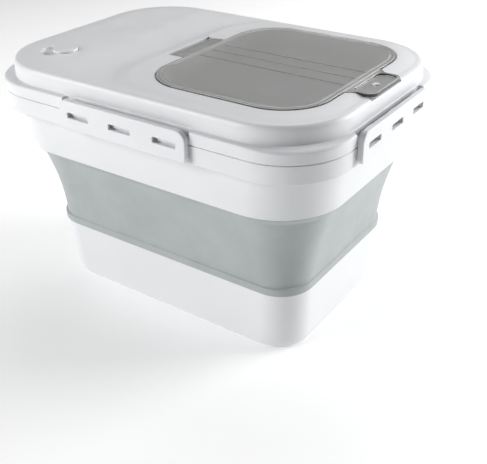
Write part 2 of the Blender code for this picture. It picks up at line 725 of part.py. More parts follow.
def latch_outline(length, shrink):
    """The latch plate's face as (along, up) points, with wide upper and tight lower corners."""
    top = CREASE + LATCH_TOP - shrink
    bottom = top - LATCH_HEIGHT + 2 * shrink
    half = length / 2 - shrink
    upper, lower = LATCH_CORNER - shrink, 0.5 * LATCH_CORNER - shrink
    points = []
    for hub_x, hub_z, radius, first in (
        (half - upper, top - upper, upper, 0),
        (-half + upper, top - upper, upper, 90),
        (-half + lower, bottom + lower, lower, 180),
        (half - lower, bottom + lower, lower, 270),
    ):
        for step in range(5):
            angle = math.radians(first + 90 * step / 4)
            points.append((hub_x + radius * math.cos(angle), hub_z + radius * math.sin(angle)))
    return points


def plate(polygon, low, high):
    """A solid with an (along, up) face between two distances out from the side."""
    rings = [[(low, along, up) for along, up in polygon], [(high, along, up) for along, up in polygon]]
    return loft(rings, closed=False)


def make_latch(name, length, heading):
    """A tray-shaped latch with knuckles on the pin, three slots and a catch rib under each."""
    frame = side_frame(heading)
    pivot = frame @ Vector((-PIN_INSET, 0.0, CREASE - PIN_DROP))
    face = []
    for out, shrink in ((LATCH_GAP, 0.0), (LATCH_PROUD - 1.5 * EDGE, 0.0), (LATCH_PROUD, 1.5 * EDGE)):
        face.append([(out, along, up) for along, up in latch_outline(length, shrink)])
    latch = piece(f"latch_{name}", moved(loft(face, closed=False), frame), "white_plastic", pivot)
    top = CREASE + LATCH_TOP
    bottom = top - LATCH_HEIGHT
    hollow = []
    for along, up in latch_outline(length, LATCH_HOLLOW):
        hollow.append((along, up if up > bottom + LATCH_SKIRT else bottom - CUT_MARGIN))
    hollow_inner = LATCH_PROUD - LATCH_WALL
    cut(latch, moved(plate(trimmed(hollow), -CUT_MARGIN, hollow_inner), frame))
    axis_z = CREASE - PIN_DROP
    into_plate = hollow_inner + CUT_MARGIN
    half_slot = slot_length(length) / 2
    slot_top = top - SLOT_DROP
    slot_foot = slot_top - SLOT_HEIGHT
    for offset in slot_offsets(length):
        profile = [(into_plate, axis_z - PIN_RADIUS), (into_plate, top - EDGE), (EDGE, top - EDGE)]
        for step in range(8):
            angle = math.radians(80 + 230 * step / 7)
            profile.append(
                (KNUCKLE_RADIUS * math.cos(angle) - PIN_INSET, axis_z + KNUCKLE_RADIUS * math.sin(angle))
            )
        half = KNUCKLE_WIDTH / 2
        add(latch, moved(along_side(profile, offset - half, offset + half), frame))
        low = (hollow_inner - CUT_MARGIN, offset - half_slot, slot_foot)
        cut(latch, moved(box(low, (LATCH_PROUD + CUT_MARGIN, offset + half_slot, slot_top)), frame))
        half_rib = half_slot - HOOK_END_GAP
        rib_top = slot_foot - 2 * FIT
        rib_low = (HOOK_DEPTH + FIT, offset - half_rib, rib_top - CATCH_RIB_HEIGHT)
        add(latch, moved(box(rib_low, (into_plate, offset + half_rib, rib_top)), frame))
    cut(latch, moved(pin_bar(length, PIN_RADIUS + FIT, 0.0), frame))
    piece(f"latch_{name}_pin", moved(pin_bar(length, PIN_RADIUS, 0.0), frame), "steel")


def trimmed(points):
    """The points without repeats of the one before."""
    kept = []
    for point in points:
        if not kept or math.dist(point, kept[-1]) > 1e-5:
            kept.append(point)
    if math.dist(kept[0], kept[-1]) < 1e-5:
        kept.pop()
    return kept


# ---- Hatch ----


def tab_outline(grow, start, end):
    """The finger tab's plan: a wide root that narrows to a round-cornered end."""
    half_root = TAB_ROOT_WIDTH / 2 + grow
    half = TAB_WIDTH / 2 + grow
    corner = TAB_CORNER + grow
    neck = HATCH_END + 0.35 * TAB_LENGTH
    points = [(start, half_root), (start, -half_root), (HATCH_END, -half_root)]
    for step in range(1, 6):
        share = step / 5
        across = -half_root + (half_root - half) * blend(share)
        points.append((HATCH_END + (neck - HATCH_END) * share, across))
    for step in range(6):
        angle = math.pi / 2 * step / 5
        points.append((end - corner + corner * math.sin(angle), -half + corner * (1 - math.cos(angle))))
    mirrored = [(x, -y) for x, y in reversed(points[2:])]
    return points + mirrored


def make_hatch():
    """The clear hatch: a rimmed panel, three shallow grooves, the dished tab, and the hinge tongue."""
    pivot = (HINGE_X, 0.0, HINGE_Z)
    rings = [
        hatch_ring(-EDGE, HATCH_BOTTOM),
        hatch_ring(0.0, HATCH_BOTTOM + EDGE),
        hatch_ring(0.0, HATCH_TOP - EDGE),
        hatch_ring(-EDGE, HATCH_TOP),
        hatch_ring(-HATCH_RIM, HATCH_TOP),
        hatch_ring(-HATCH_RIM - EDGE, HATCH_TOP - PANEL_DROP),
    ]
    hatch = piece("hatch", loft(rings, closed=False), "clear_smoke", pivot)
    groove_end = HATCH_END - HATCH_RIM - EDGE
    for row in (-1, 0, 1):
        y = row * RIB_SPACING
        low = (HATCH_START + RIB_START, y - RIB_WIDTH / 2, HATCH_TOP - PANEL_DROP - RIB_DEPTH)
        cut(hatch, box(low, (groove_end, y + RIB_WIDTH / 2, HATCH_TOP + CUT_MARGIN)))
    tab_top = HATCH_TOP - TAB_DROP
    tab_end = HATCH_END + TAB_LENGTH
    tab = tab_outline(0.0, HATCH_END - CUT_MARGIN, tab_end)
    add(hatch, prism(tab, tab_top - TAB_THICKNESS, tab_top))
    dish_start = HATCH_END + TAB_RIM + EDGE
    dish = tab_outline(-TAB_RIM, dish_start, tab_end - TAB_RIM)
    dish = [(x, y) for x, y in dish if x >= dish_start]
    cut(hatch, prism(dish, tab_top - TAB_DISH, tab_top + CUT_MARGIN))
    hole = STUD_RADIUS + 2 * FIT
    bore = turned([(hole, tab_top - TAB_THICKNESS - CUT_MARGIN), (hole, tab_top)])
    cut(hatch, moved(bore, Matrix.Translation((STUD_X, 0.0, 0.0))))
    add_tongue(hatch)
    seal_outer = -HATCH_RIM - EDGE
    seal_inner = seal_outer - HATCH_SEAL_WIDTH
    low, high = SEAT + FIT, HATCH_BOTTOM - FIT
    seal_rings = [hatch_ring(seal_outer, low), hatch_ring(seal_outer, high)]
    seal_rings += [hatch_ring(seal_inner, high), hatch_ring(seal_inner, low)]
    piece("hatch_gasket", loft(seal_rings, closed=True), "silicone", pivot)
    reach = TONGUE_WIDTH / 2 + PIN_GRIP
    piece("hatch_hinge_pin", rod(PIN_RADIUS, (HINGE_X, -reach, HINGE_Z), (HINGE_X, reach, HINGE_Z)), "steel")


def add_tongue(hatch):
    """The flat tongue at -X that rolls into a barrel round the hinge pin."""
    root = HATCH_START + CUT_MARGIN
    profile = [(root, HATCH_TOP - PANEL_DROP)]
    for step in range(10):
        angle = math.radians(85 + 240 * step / 9)
        profile.append((HINGE_X + BARREL_RADIUS * math.cos(angle), HINGE_Z + BARREL_RADIUS * math.sin(angle)))
    profile.append((HINGE_X + 2 * BARREL_RADIUS, HATCH_TOP - BARREL_DROP - HATCH_THICKNESS))
    profile.append((root, HATCH_BOTTOM + FIT))
    half = TONGUE_WIDTH / 2
    rings = [[(x, -half, z) for x, z in profile], [(x, half, z) for x, z in profile]]
    add(hatch, loft(rings, closed=False))
    reach = half + CUT_MARGIN
    cut(hatch, rod(PIN_RADIUS + FIT, (HINGE_X, -reach, HINGE_Z), (HINGE_X, reach, HINGE_Z)))


def make_stud():
    """The snap stud under the tab, pressed into the lid."""
    floor = HATCH_TOP - TAB_NOTCH_DEPTH
    profile = [(STUD_STEM_RADIUS, floor - STUD_SEAT_DEPTH), (STUD_STEM_RADIUS, floor + FIT)]
    profile += [(STUD_RADIUS, floor + FIT), (0.82 * STUD_RADIUS, floor + TAB_NOTCH_DEPTH / 2)]
    profile += [(STUD_RADIUS, HATCH_TOP - TAB_DISH), (0.9 * STUD_RADIUS, HATCH_TOP - 1.5 * EDGE)]
    profile.append((0.5 * STUD_RADIUS, HATCH_TOP - EDGE))
    shape = moved(turned(profile, PIN_STEPS), Matrix.Translation((STUD_X, 0.0, 0.0)))
    piece("tab_snap_stud", shape, "white_plastic")


# ---- Vent and seals ----


def make_vent():
    """The lift-up vent plug: a domed cap on a stem, over its own seal ring."""
    floor = vent_floor()
    seal_top = floor + FIT + VENT_SEAL_THICKNESS
    cap_low = seal_top + FIT
    cap_top = top_height(VENT_X, VENT_Y) + VENT_CAP_HEIGHT
    profile = [(STEM_RADIUS, floor - STEM_LENGTH), (STEM_RADIUS, cap_low), (VENT_RADIUS - EDGE, cap_low)]
    profile += [(VENT_RADIUS, cap_low + EDGE), (VENT_RADIUS, cap_top - 2 * EDGE)]
    profile += [(VENT_RADIUS - EDGE, cap_top - EDGE), (VENT_RADIUS - 4 * EDGE, cap_top - EDGE / 4)]
    profile.append((0.4 * VENT_RADIUS, cap_top))
    pivot = (VENT_X, VENT_Y, floor)
    place = Matrix.Translation((VENT_X, VENT_Y, 0.0))
    piece("vent_plug", moved(turned(profile), place), "white_plastic", pivot)
    inner = STEM_RADIUS + 2 * FIT
    ring_shape = washer(inner, inner + VENT_SEAL_WIDTH, floor + FIT, seal_top)
    piece("vent_seal", moved(ring_shape, place), "silicone")


def make_lid_gasket():
    """The silicone ring in the lid's channel, resting on the collar's upstand."""
    low = PARTING + UPSTAND_HEIGHT + FIT
    high = low + SEAL_THICKNESS
    outer = CHANNEL_INSET + FIT
    inner = SKIRT_INSET - SEAL_CLEARANCE
    section = ((outer, low), (outer, high), (inner, high), (inner, low))
    rings = [ring(inset, SEAL_CORNER - inset, height) for inset, height in section]
    piece("lid_gasket", loft(rings, closed=True), "silicone")


def main():
    clear_scene()
    make_tub()
    make_feet()
    make_band()
    make_collar()
    make_lid()
    make_lid_gasket()
    make_hatch()
    make_stud()
    make_vent()
    for name, length, heading in SIDES:
        make_latch(name, length, heading)


main()
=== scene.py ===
"""Looks of the collapsible pet food bin: fine surfaces, materials, light and camera."""

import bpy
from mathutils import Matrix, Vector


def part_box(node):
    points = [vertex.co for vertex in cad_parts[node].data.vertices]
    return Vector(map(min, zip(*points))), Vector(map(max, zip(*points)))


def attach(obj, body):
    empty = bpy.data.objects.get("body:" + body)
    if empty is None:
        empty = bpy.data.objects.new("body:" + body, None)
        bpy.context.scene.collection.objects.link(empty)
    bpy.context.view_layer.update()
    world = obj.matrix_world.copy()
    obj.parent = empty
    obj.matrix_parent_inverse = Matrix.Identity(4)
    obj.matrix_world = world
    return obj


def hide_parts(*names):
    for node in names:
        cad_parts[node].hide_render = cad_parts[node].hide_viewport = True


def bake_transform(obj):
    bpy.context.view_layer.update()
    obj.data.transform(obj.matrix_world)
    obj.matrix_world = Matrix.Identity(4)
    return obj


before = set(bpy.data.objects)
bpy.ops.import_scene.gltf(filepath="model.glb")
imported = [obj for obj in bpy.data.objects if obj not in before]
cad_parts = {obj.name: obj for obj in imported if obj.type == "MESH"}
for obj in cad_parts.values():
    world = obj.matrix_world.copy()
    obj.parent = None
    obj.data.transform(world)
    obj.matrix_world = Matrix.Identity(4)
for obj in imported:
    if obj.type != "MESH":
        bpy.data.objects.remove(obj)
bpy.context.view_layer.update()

import math

import bmesh
import bpy
from mathutils import Matrix, Vector

# ---- Sizes, read from the frame where a piece's box gives them ----

FIT = 0.0003
WALL = 0.0024
RUBBER_WALL = 0.0020
EDGE = 0.0008
HIGH, LOW = 1, 0
CUT_OVER = 0.0010


def middle(name):
    low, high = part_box(name)
    return (low + high) / 2


CHANNEL_INSET = 0.0077
SKIRT_INSET = 0.0125
SKIRT_DROP = 0.0050
SKIRT_DRAFT = 0.0008
SEAL_CLEARANCE = 0.0008
UPSTAND_INSET = 0.0083
UPSTAND_WIDTH = 0.0026
UPSTAND_HEIGHT = 0.0055
SEAL_LOW, SEAL_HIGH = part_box("lid_gasket")
HALF_LENGTH = SEAL_HIGH.x + CHANNEL_INSET + FIT
HALF_WIDTH = SEAL_HIGH.y + CHANNEL_INSET + FIT

FLANGE_CORNER = 0.0710
TUB_FOOT_INSET, TUB_FOOT_CORNER = 0.0462, 0.0420
TUB_RIM_INSET, TUB_RIM_CORNER = 0.0427, 0.0396
COLLAR_FOOT_INSET, COLLAR_FOOT_CORNER = 0.0145, 0.0727
CREASE_INSET, CREASE_CORNER = 0.0064, 0.0794
SHOULDER_INSET, SHOULDER_CORNER, SHOULDER_FULLNESS = 0.0160, 0.0680, 0.5
SEAL_CORNER = 0.0777
RIM_DEPTH, RIM_STEP, RIM_DRAFT, RIM_ROOT = 0.0195, 0.0100, 0.0004, 0.0020
HOOK_DEPTH, HOOK_HEIGHT, HOOK_LIFT, HOOK_END_GAP = 0.0015, 0.0035, 0.0010, 0.0020
TUB_FLOOR, TUB_BOTTOM_EDGE, TUB_INNER_EDGE = 0.0030, 0.0105, 0.0100
TUB_RECESS, RECESS_EDGE = 0.0010, 0.0010
RECESS_MIDDLE = (0.0480, 0.0120)
RECESS_WALL_TOP, RECESS_WALL_FOOT = (0.0160, 0.0260), (0.0140, 0.0280)
FLOOR_MIDDLE = (0.0300, 0.0200)
FOOT_RADIUS, FOOT_THICKNESS, DIMPLE_RADIUS, DIMPLE_DEPTH = 0.0110, 0.0024, 0.0040, 0.0008
HUB, PAD_EDGE = 0.0005, 0.0003
FEET = ("front_left", "front_right", "back_left", "back_right")
LIP_HEIGHT, LIP_PROUD, LIP_STEP = 0.0095, 0.0016, 0.0020
BAND_SHOULDER, BAND_TONGUE, BAND_BOW, BAND_STEP = 0.0095, 0.0080, 0.0025, 0.0006
FLANGE_THICKNESS, SHOULDER_HEIGHT, HATCH_RISE = 0.0138, 0.0186, 0.0037
FLANGE_EDGE_RADIUS, FLANGE_FALL = 0.0030, 0.0004
CROWN_WIDTH = 0.0200
STORE_RISE, SWALE_DEPTH, SWALE_WIDTH = 0.0018, 0.0030, 0.0620
RAMP_WIDTH, PLATFORM_MARGIN, PLATFORM_CORNER = 0.0200, 0.0460, 0.0750

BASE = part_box("lower_tub")[LOW].z
TUB_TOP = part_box("folding_band")[LOW].z - FIT
COLLAR_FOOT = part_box("upper_collar")[LOW].z
PARTING = SEAL_LOW.z - FIT - UPSTAND_HEIGHT
CREASE = PARTING + FLANGE_THICKNESS
SHOULDER = CREASE + SHOULDER_HEIGHT
HATCH_TOP = SHOULDER + HATCH_RISE

HATCH_THICKNESS, HATCH_GAP, HATCH_CORNER, HATCH_RIM = 0.0026, 0.0009, 0.0513, 0.0050
HATCH_PROUD, PANEL_DROP = 0.0007, 0.0005
RIM_CREST, RIM_FOOT, BEAD_START, BEAD_CREST, BEAD_END = 0.55, 0.75, 1.15, 1.30, 1.45
BEAD_EDGE, BEAD_DROP, RIB_END_SHARE = 0.0004, 0.2, 1.6
SEAT_WIDTH, SEAT_DEPTH, MOUTH_DROP = 0.0135, 0.0046, 0.0080
TONGUE_WIDTH, BARREL_RADIUS, HINGE_POCKET_MARGIN, PIN_GRIP = 0.0760, 0.0030, 0.0020, 0.0040
TAB_WIDTH, TAB_ROOT_WIDTH, TAB_CORNER, TAB_RIM = 0.0660, 0.0800, 0.0095, 0.0032
TAB_DROP, TAB_DISH, TAB_THICKNESS, TAB_NOTCH_DEPTH = 0.0003, 0.0022, 0.0038, 0.0066
RIB_SPACING, RIB_WIDTH, RIB_DEPTH, RIB_START = 0.0220, 0.0020, 0.0009, 0.0110
DISH_CORNER, TONGUE_ROOT_DROP, HATCH_SEAL_WIDTH, SEAL_SOFTNESS = 0.0075, 0.0042, 0.0030, 0.0014
SEAL_RIM = HATCH_RIM + EDGE
HATCH_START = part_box("hatch_gasket")[LOW].x - SEAL_RIM
HATCH_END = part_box("hatch_gasket")[HIGH].x + SEAL_RIM
HATCH_X = (HATCH_START + HATCH_END) / 2
HATCH_HALF_LENGTH = (HATCH_END - HATCH_START) / 2
HATCH_HALF_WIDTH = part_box("hatch_gasket")[HIGH].y + SEAL_RIM
TAB_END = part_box("hatch")[HIGH].x
HATCH_BOTTOM = HATCH_TOP - HATCH_THICKNESS
PLATFORM_RISE = HATCH_RISE - HATCH_PROUD
PLATFORM_START = HATCH_START - PLATFORM_MARGIN
SEAT = SHOULDER + PLATFORM_RISE - SEAT_DEPTH
MOUTH_BOTTOM = SEAT - MOUTH_DROP
HINGE_X, _, HINGE_Z = middle("hatch_hinge_pin")
STUD_X = middle("tab_snap_stud").x
PANEL_TOP, TAB_TOP = HATCH_TOP - PANEL_DROP, HATCH_TOP - TAB_DROP
DISH_FLOOR, NOTCH_FLOOR = TAB_TOP - TAB_DISH, HATCH_TOP - TAB_NOTCH_DEPTH
POCKET_BACK = HINGE_X - BARREL_RADIUS - HINGE_POCKET_MARGIN
POCKET_FLOOR = HINGE_Z - BARREL_RADIUS - 2 * FIT
STUD_RADIUS, STUD_STEM_RADIUS, STUD_SEAT_DEPTH, STUD_WAIST = 0.0026, 0.0018, 0.0011, 0.82

VENT_X, VENT_Y, _ = middle("vent_plug")
VENT_PLACE = Matrix.Translation((VENT_X, VENT_Y, 0.0))
VENT_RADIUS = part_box("vent_plug")[HIGH].x - VENT_X
VENT_CAP_HEIGHT, VENT_POCKET_DEPTH, VENT_PAD_WIDTH = 0.0028, 0.0026, 0.0040
VENT_SEAL_THICKNESS, STEM_RADIUS, STEM_LENGTH = 0.0012, 0.0040, 0.0060
VENT_SEAL_WIDTH = 0.0040
SCOOP_RADIUS, SCOOP_DEPTH, SCOOP_OFFSET = 0.0155, 0.0045, 0.0120
SCOOP_NARROWING, SCOOP_FLAT = 0.65, 0.12

LATCH_GAP, LATCH_WALL, LATCH_HOLLOW, LATCH_SKIRT = 0.0005, 0.0022, 0.0020, 0.0120
LATCH_CORNER, LATCH_EDGE = 0.0105, 0.0016
LATCH_LOW, LATCH_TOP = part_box("latch_front")[LOW].z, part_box("latch_front")[HIGH].z
LATCH_PROUD = -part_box("latch_front")[LOW].y - HALF_WIDTH
SLOT_END_DISTANCE, SLOT_SHARE, SLOT_HEIGHT, SLOT_DROP = 0.0255, 0.5, 0.0060, 0.0128
SLOT_CORNER, CATCH_RIB_HEIGHT = 0.0012, 0.0034
NOTCH_DEPTH, NOTCH_HEIGHT, NOTCH_CORNER = 0.0060, 0.0076, 0.0056
PIN_RADIUS, PIN_DROP, PIN_INSET = 0.0012, 0.0038, 0.0008
KNUCKLE_RADIUS, KNUCKLE_WIDTH = 0.0025, 0.0120
PIN_Z = CREASE - PIN_DROP
LUG_RADIUS, LUG_WIDTH, LUG_END_INSET = 0.0021, 0.0040, 0.0120
SIDES = (("front", "y", -90), ("back", "y", 90), ("right", "x", 0), ("left", "x", 180))

# ---- Stage ----

CAMERA_PLACE = Vector((0.4941, -0.6608, 0.5407))
CAMERA_AZIMUTH, CAMERA_ELEVATION, CAMERA_ROLL = 34.81, 30.72, -0.79
CAMERA_LENS = 56.4
LIGHT_AIM = Vector((0.0, 0.0, 0.15))
LIGHT_DISTANCE = 2.3
LIGHT_SIZE = 1.3
SOFTBOXES = (
    ("left_softbox", -126, 24, 39.0),
    ("far_left_softbox", -165, 15, 2.0),
    ("high_back_softbox", 120, 60, 12.0),
    ("right_softbox", 38, 20, 12.0),
    ("back_right_softbox", 48, 20, 42.0),
    ("back_softbox", 90, 30, 9.0),
)
FLOOR_SIZE, FLOOR_WHITE, FLOOR_ROUGHNESS = 12.0, (0.92, 0.92, 0.92, 1.0), 0.9
FLOOR_GLOW, WORLD_GLOW = 0.21, 0.02
WHITE = (1.0, 1.0, 1.0, 1.0)


def add_camera():
    turn, lift, roll = (math.radians(a) for a in (CAMERA_AZIMUTH, CAMERA_ELEVATION, CAMERA_ROLL))
    back = Vector((math.sin(turn) * math.cos(lift), -math.cos(turn) * math.cos(lift), math.sin(lift)))
    right = Vector((math.cos(turn), math.sin(turn), 0.0))
    up = back.cross(right)
    right, up = (
        right * math.cos(roll) + up * math.sin(roll),
        up * math.cos(roll) - right * math.sin(roll),
    )
    data = bpy.data.cameras.new("camera")
    data.lens = CAMERA_LENS
    camera = bpy.data.objects.new("camera", data)
    axes = Matrix((right, up, back)).transposed().to_4x4()
    camera.matrix_world = Matrix.Translation(CAMERA_PLACE) @ axes
    bpy.context.scene.collection.objects.link(camera)
    bpy.context.scene.camera = camera


def add_softbox(name, azimuth, elevation, watts):
    """A square softbox at LIGHT_DISTANCE, aimed at the middle of the bin."""
    data = bpy.data.lights.new(name, "AREA")
    data.shape = "SQUARE"
    data.size = LIGHT_SIZE
    data.energy = watts
    light = bpy.data.objects.new(name, data)
    turn, lift = math.radians(azimuth), math.radians(elevation)
    way = Vector((math.cos(turn) * math.cos(lift), math.sin(turn) * math.cos(lift), math.sin(lift)))
    light.location = LIGHT_AIM + way * LIGHT_DISTANCE
    light.rotation_euler = way.to_track_quat("Z", "Y").to_euler()
    bpy.context.scene.collection.objects.link(light)


def add_stage():
    """The pale floor, the studio's even light and the softboxes."""
    bpy.ops.mesh.primitive_plane_add(size=FLOOR_SIZE)
    floor = bpy.context.object
    floor.name = "floor"
    material, _, shader = new_material("floor_white")
    shader.inputs["Base Color"].default_value = FLOOR_WHITE
    shader.inputs["Roughness"].default_value = FLOOR_ROUGHNESS
    shader.inputs["Emission Color"].default_value = WHITE
    shader.inputs["Emission Strength"].default_value = FLOOR_GLOW
    floor.data.materials.append(material)
    world = bpy.data.worlds.new("studio")
    world.use_nodes = True
    background = world.node_tree.nodes["Background"]
    background.inputs["Color"].default_value = WHITE
    background.inputs["Strength"].default_value = WORLD_GLOW
    bpy.context.scene.world = world
    for softbox in SOFTBOXES:
        add_softbox(*softbox)


# ---- Materials ----


def new_material(name):
    material = bpy.data.materials.new(name)
    material.use_nodes = True
    tree = material.node_tree
    return material, tree, tree.nodes["Principled BSDF"]


def feed(shader, socket, value):
    shader.id_data.links.new(value, shader.inputs[socket])


def noise(tree, scale, detail=3.0, roughness=0.55, distortion=0.0):
    """A noise texture in the object's own space, which is the row frame, in metres."""
    coordinates = tree.nodes.new("ShaderNodeTexCoord")
    texture = tree.nodes.new("ShaderNodeTexNoise")
    texture.inputs["Scale"].default_value = scale
    texture.inputs["Detail"].default_value = detail
    texture.inputs["Roughness"].default_value = roughness
    texture.inputs["Distortion"].default_value = distortion
    tree.links.new(coordinates.outputs["Object"], texture.inputs["Vector"])
    return texture.outputs["Fac"]


def ramp(tree, value, *stops):
    """A colour ramp over value between two (position, colour) pairs, where a number stands for a grey."""
    node = tree.nodes.new("ShaderNodeValToRGB")
    for element, (position, colour) in zip(node.color_ramp.elements, stops):
        element.position = position
        element.color = (colour, colour, colour, 1.0) if isinstance(colour, float) else (*colour, 1.0)
    tree.links.new(value, node.inputs["Fac"])
    return node.outputs["Color"]


def feed_ramp(shader, socket, value, *stops):
    feed(shader, socket, ramp(shader.id_data, value, *stops))


def bump(tree, height, strength, distance, normal=None):
    node = tree.nodes.new("ShaderNodeBump")
    node.inputs["Strength"].default_value = strength
    node.inputs["Distance"].default_value = distance
    tree.links.new(height, node.inputs["Height"])
    if normal is not None:
        tree.links.new(normal, node.inputs["Normal"])
    return node.outputs["Normal"]


def white_plastic():
    """Satin moulded polypropylene: a fine grain, faint flow marks and a slightly uneven gloss."""
    material, tree, shader = new_material("white_moulded_plastic")
    cloud = noise(tree, 7.0, detail=2.0)
    feed_ramp(shader, "Base Color", cloud, (0.3, (0.800, 0.812, 0.832)), (0.7, (0.838, 0.848, 0.866)))
    gloss = noise(tree, 45.0, detail=4.0)
    feed_ramp(shader, "Roughness", gloss, (0.3, 0.34), (0.7, 0.44))
    flow = bump(tree, noise(tree, 22.0, detail=2.0), 0.10, 0.0004)
    grain = bump(tree, noise(tree, 2200.0, detail=1.0), 0.12, 0.00006, flow)
    feed(shader, "Normal", grain)
    shader.inputs["IOR"].default_value = 1.49
    shader.inputs["Subsurface Weight"].default_value = 0.06
    shader.inputs["Subsurface Radius"].default_value = (0.004, 0.004, 0.005)
    shader.inputs["Subsurface Scale"].default_value = 1.0
    return material


def grey_rubber():
    """Matt thermoplastic rubber: soft mottling, a fine stipple and slightly polished high spots."""
    material, tree, shader = new_material("grey_thermoplastic_rubber")
    mottle = noise(tree, 18.0, detail=5.0, roughness=0.6, distortion=0.4)
    feed_ramp(shader, "Base Color", mottle, (0.3, (0.388, 0.420, 0.424)), (0.7, (0.440, 0.472, 0.474)))
    polish = noise(tree, 120.0, detail=3.0)
    feed_ramp(shader, "Roughness", polish, (0.3, 0.50), (0.7, 0.66))
    ripple = bump(tree, noise(tree, 30.0, detail=3.0), 0.25, 0.0006)
    stipple = bump(tree, noise(tree, 1500.0, detail=1.0), 0.25, 0.0001, ripple)
    feed(shader, "Normal", stipple)
    shader.inputs["Sheen Weight"].default_value = 0.15
    shader.inputs["Sheen Roughness"].default_value = 0.5
    return material


def scaled(tree, value, low, high):
    """value mapped so that low gives 0 and high gives 1, with level ends."""
    node = tree.nodes.new("ShaderNodeMapRange")
    node.interpolation_type = "SMOOTHSTEP"
    node.inputs["From Min"].default_value = low
    node.inputs["From Max"].default_value = high
    tree.links.new(value, node.inputs["Value"])
    return node.outputs["Result"]


def arithmetic(tree, operation, *values):
    node = tree.nodes.new("ShaderNodeMath")
    node.operation = operation
    for value, socket in zip(values, node.inputs):
        tree.links.new(value, socket)
    return node.outputs["Value"]


def painted_edge_shade(tree):
    """A mask, 1 on upright faces and down in the panel's grooves, where the clear plastic's colour is
    darkened as painted shade.
    """
    coordinates = tree.nodes.new("ShaderNodeTexCoord")
    place = tree.nodes.new("ShaderNodeSeparateXYZ")
    facing = tree.nodes.new("ShaderNodeSeparateXYZ")
    tree.links.new(coordinates.outputs["Object"], place.inputs["Vector"])
    tree.links.new(coordinates.outputs["Normal"], facing.inputs["Vector"])
    tilt = arithmetic(tree, "ABSOLUTE", facing.outputs["Z"])
    upright = scaled(tree, tilt, 0.75, 0.35)
    groove = scaled(tree, place.outputs["Z"], PANEL_TOP - 0.00005, PANEL_TOP - 0.0002)
    for coordinate, low, high in (
        ("Z", PANEL_TOP - 1.8 * RIB_DEPTH, PANEL_TOP - 1.4 * RIB_DEPTH),
        ("X", HATCH_START + HATCH_RIM, HATCH_START + RIB_START),
        ("X", HATCH_END, HATCH_END - HATCH_RIM),
    ):
        inside = scaled(tree, place.outputs[coordinate], low, high)
        groove = arithmetic(tree, "MULTIPLY", groove, inside)
    return arithmetic(tree, "MAXIMUM", upright, groove)


def smoke_plastic():
    """Smoke-tinted clear plastic: polished, slightly hazy inside, with painted shade on its upright edges
    and in its grooves, and faint scuffs.
    """
    material, tree, shader = new_material("smoke_clear_plastic")
    tint = noise(tree, 9.0, detail=2.0)
    mix = tree.nodes.new("ShaderNodeMixRGB")
    # Painted shade: the mask mixes the colour to near black on upright faces and in the panel's grooves.
    tree.links.new(painted_edge_shade(tree), mix.inputs["Fac"])
    tints = ramp(tree, tint, (0.3, (0.935, 0.937, 0.927)), (0.7, (0.955, 0.955, 0.945)))
    tree.links.new(tints, mix.inputs["Color1"])
    mix.inputs["Color2"].default_value = (0.03, 0.03, 0.03, 1.0)
    feed(shader, "Base Color", mix.outputs["Color"])
    scuff = noise(tree, 260.0, detail=6.0, roughness=0.7)
    feed_ramp(shader, "Roughness", scuff, (0.45, 0.05), (0.8, 0.14))
    wave = bump(tree, noise(tree, 35.0, detail=1.0), 0.06, 0.0004)
    feed(shader, "Normal", wave)
    shader.inputs["Transmission Weight"].default_value = 0.66
    shader.inputs["IOR"].default_value = 1.49
    return material


def silicone():
    """Milky silicone with a dusty bloom."""
    material, tree, shader = new_material("milky_silicone")
    bloom = noise(tree, 90.0, detail=4.0)
    feed_ramp(shader, "Base Color", bloom, (0.3, (0.66, 0.68, 0.67)), (0.7, (0.74, 0.75, 0.74)))
    feed_ramp(shader, "Roughness", bloom, (0.3, 0.42), (0.7, 0.60))
    skin = bump(tree, noise(tree, 900.0, detail=2.0), 0.15, 0.0001)
    feed(shader, "Normal", skin)
    shader.inputs["Subsurface Weight"].default_value = 0.2
    shader.inputs["Subsurface Radius"].default_value = (0.003, 0.003, 0.003)
    return material


def drawn_steel():
    """Drawn steel wire, with fine lines along its length."""
    material, tree, shader = new_material("drawn_steel_wire")
    streak = noise(tree, 1800.0, detail=2.0)
    feed_ramp(shader, "Base Color", streak, (0.3, (0.56, 0.57, 0.59)), (0.7, (0.66, 0.67, 0.69)))
    feed_ramp(shader, "Roughness", streak, (0.3, 0.24), (0.7, 0.40))
    shader.inputs["Metallic"].default_value = 1.0
    return material


def pad_rubber():
    """Dark anti-slip rubber with a coarse stipple and dusty patches."""
    material, tree, shader = new_material("anti_slip_rubber")
    dust = noise(tree, 160.0, detail=5.0, roughness=0.65)
    feed_ramp(shader, "Base Color", dust, (0.4, (0.055, 0.055, 0.058)), (0.75, (0.13, 0.13, 0.13)))
    feed_ramp(shader, "Roughness", dust, (0.4, 0.62), (0.75, 0.85))
    stipple = bump(tree, noise(tree, 1100.0, detail=1.0), 0.5, 0.0002)
    feed(shader, "Normal", stipple)
    return material


# ---- Shapes ----


def outline(half_x, half_y, radius, centre_x=0.0, side_steps=24, corner_steps=20):
    """Points of a rectangle with round corners, anticlockwise from +X."""
    arcs = []
    for quarter, (sign_x, sign_y) in enumerate(((1, 1), (-1, 1), (-1, -1), (1, -1))):
        hub = Vector((centre_x + sign_x * (half_x - radius), sign_y * (half_y - radius)))
        arc = []
        for step in range(corner_steps + 1):
            angle = math.pi / 2 * (quarter + step / corner_steps)
            arc.append(hub + radius * Vector((math.cos(angle), math.sin(angle))))
        arcs.append(arc)
    points = []
    for arc, following in zip(arcs, arcs[1:] + arcs[:1]):
        points += arc
        points += [arc[-1].lerp(following[0], step / side_steps) for step in range(1, side_steps)]
    return points


def ring(inset, corner, height):
    """The flange outline moved inward by inset, at one height."""
    return [(x, y, height) for x, y in outline(HALF_LENGTH - inset, HALF_WIDTH - inset, corner)]


def hatch_ring(grow, height):
    """The hatch outline moved outward by grow, at one height."""
    flat = outline(HATCH_HALF_LENGTH + grow, HATCH_HALF_WIDTH + grow, HATCH_CORNER + grow, HATCH_X)
    return [(x, y, height) for x, y in flat]


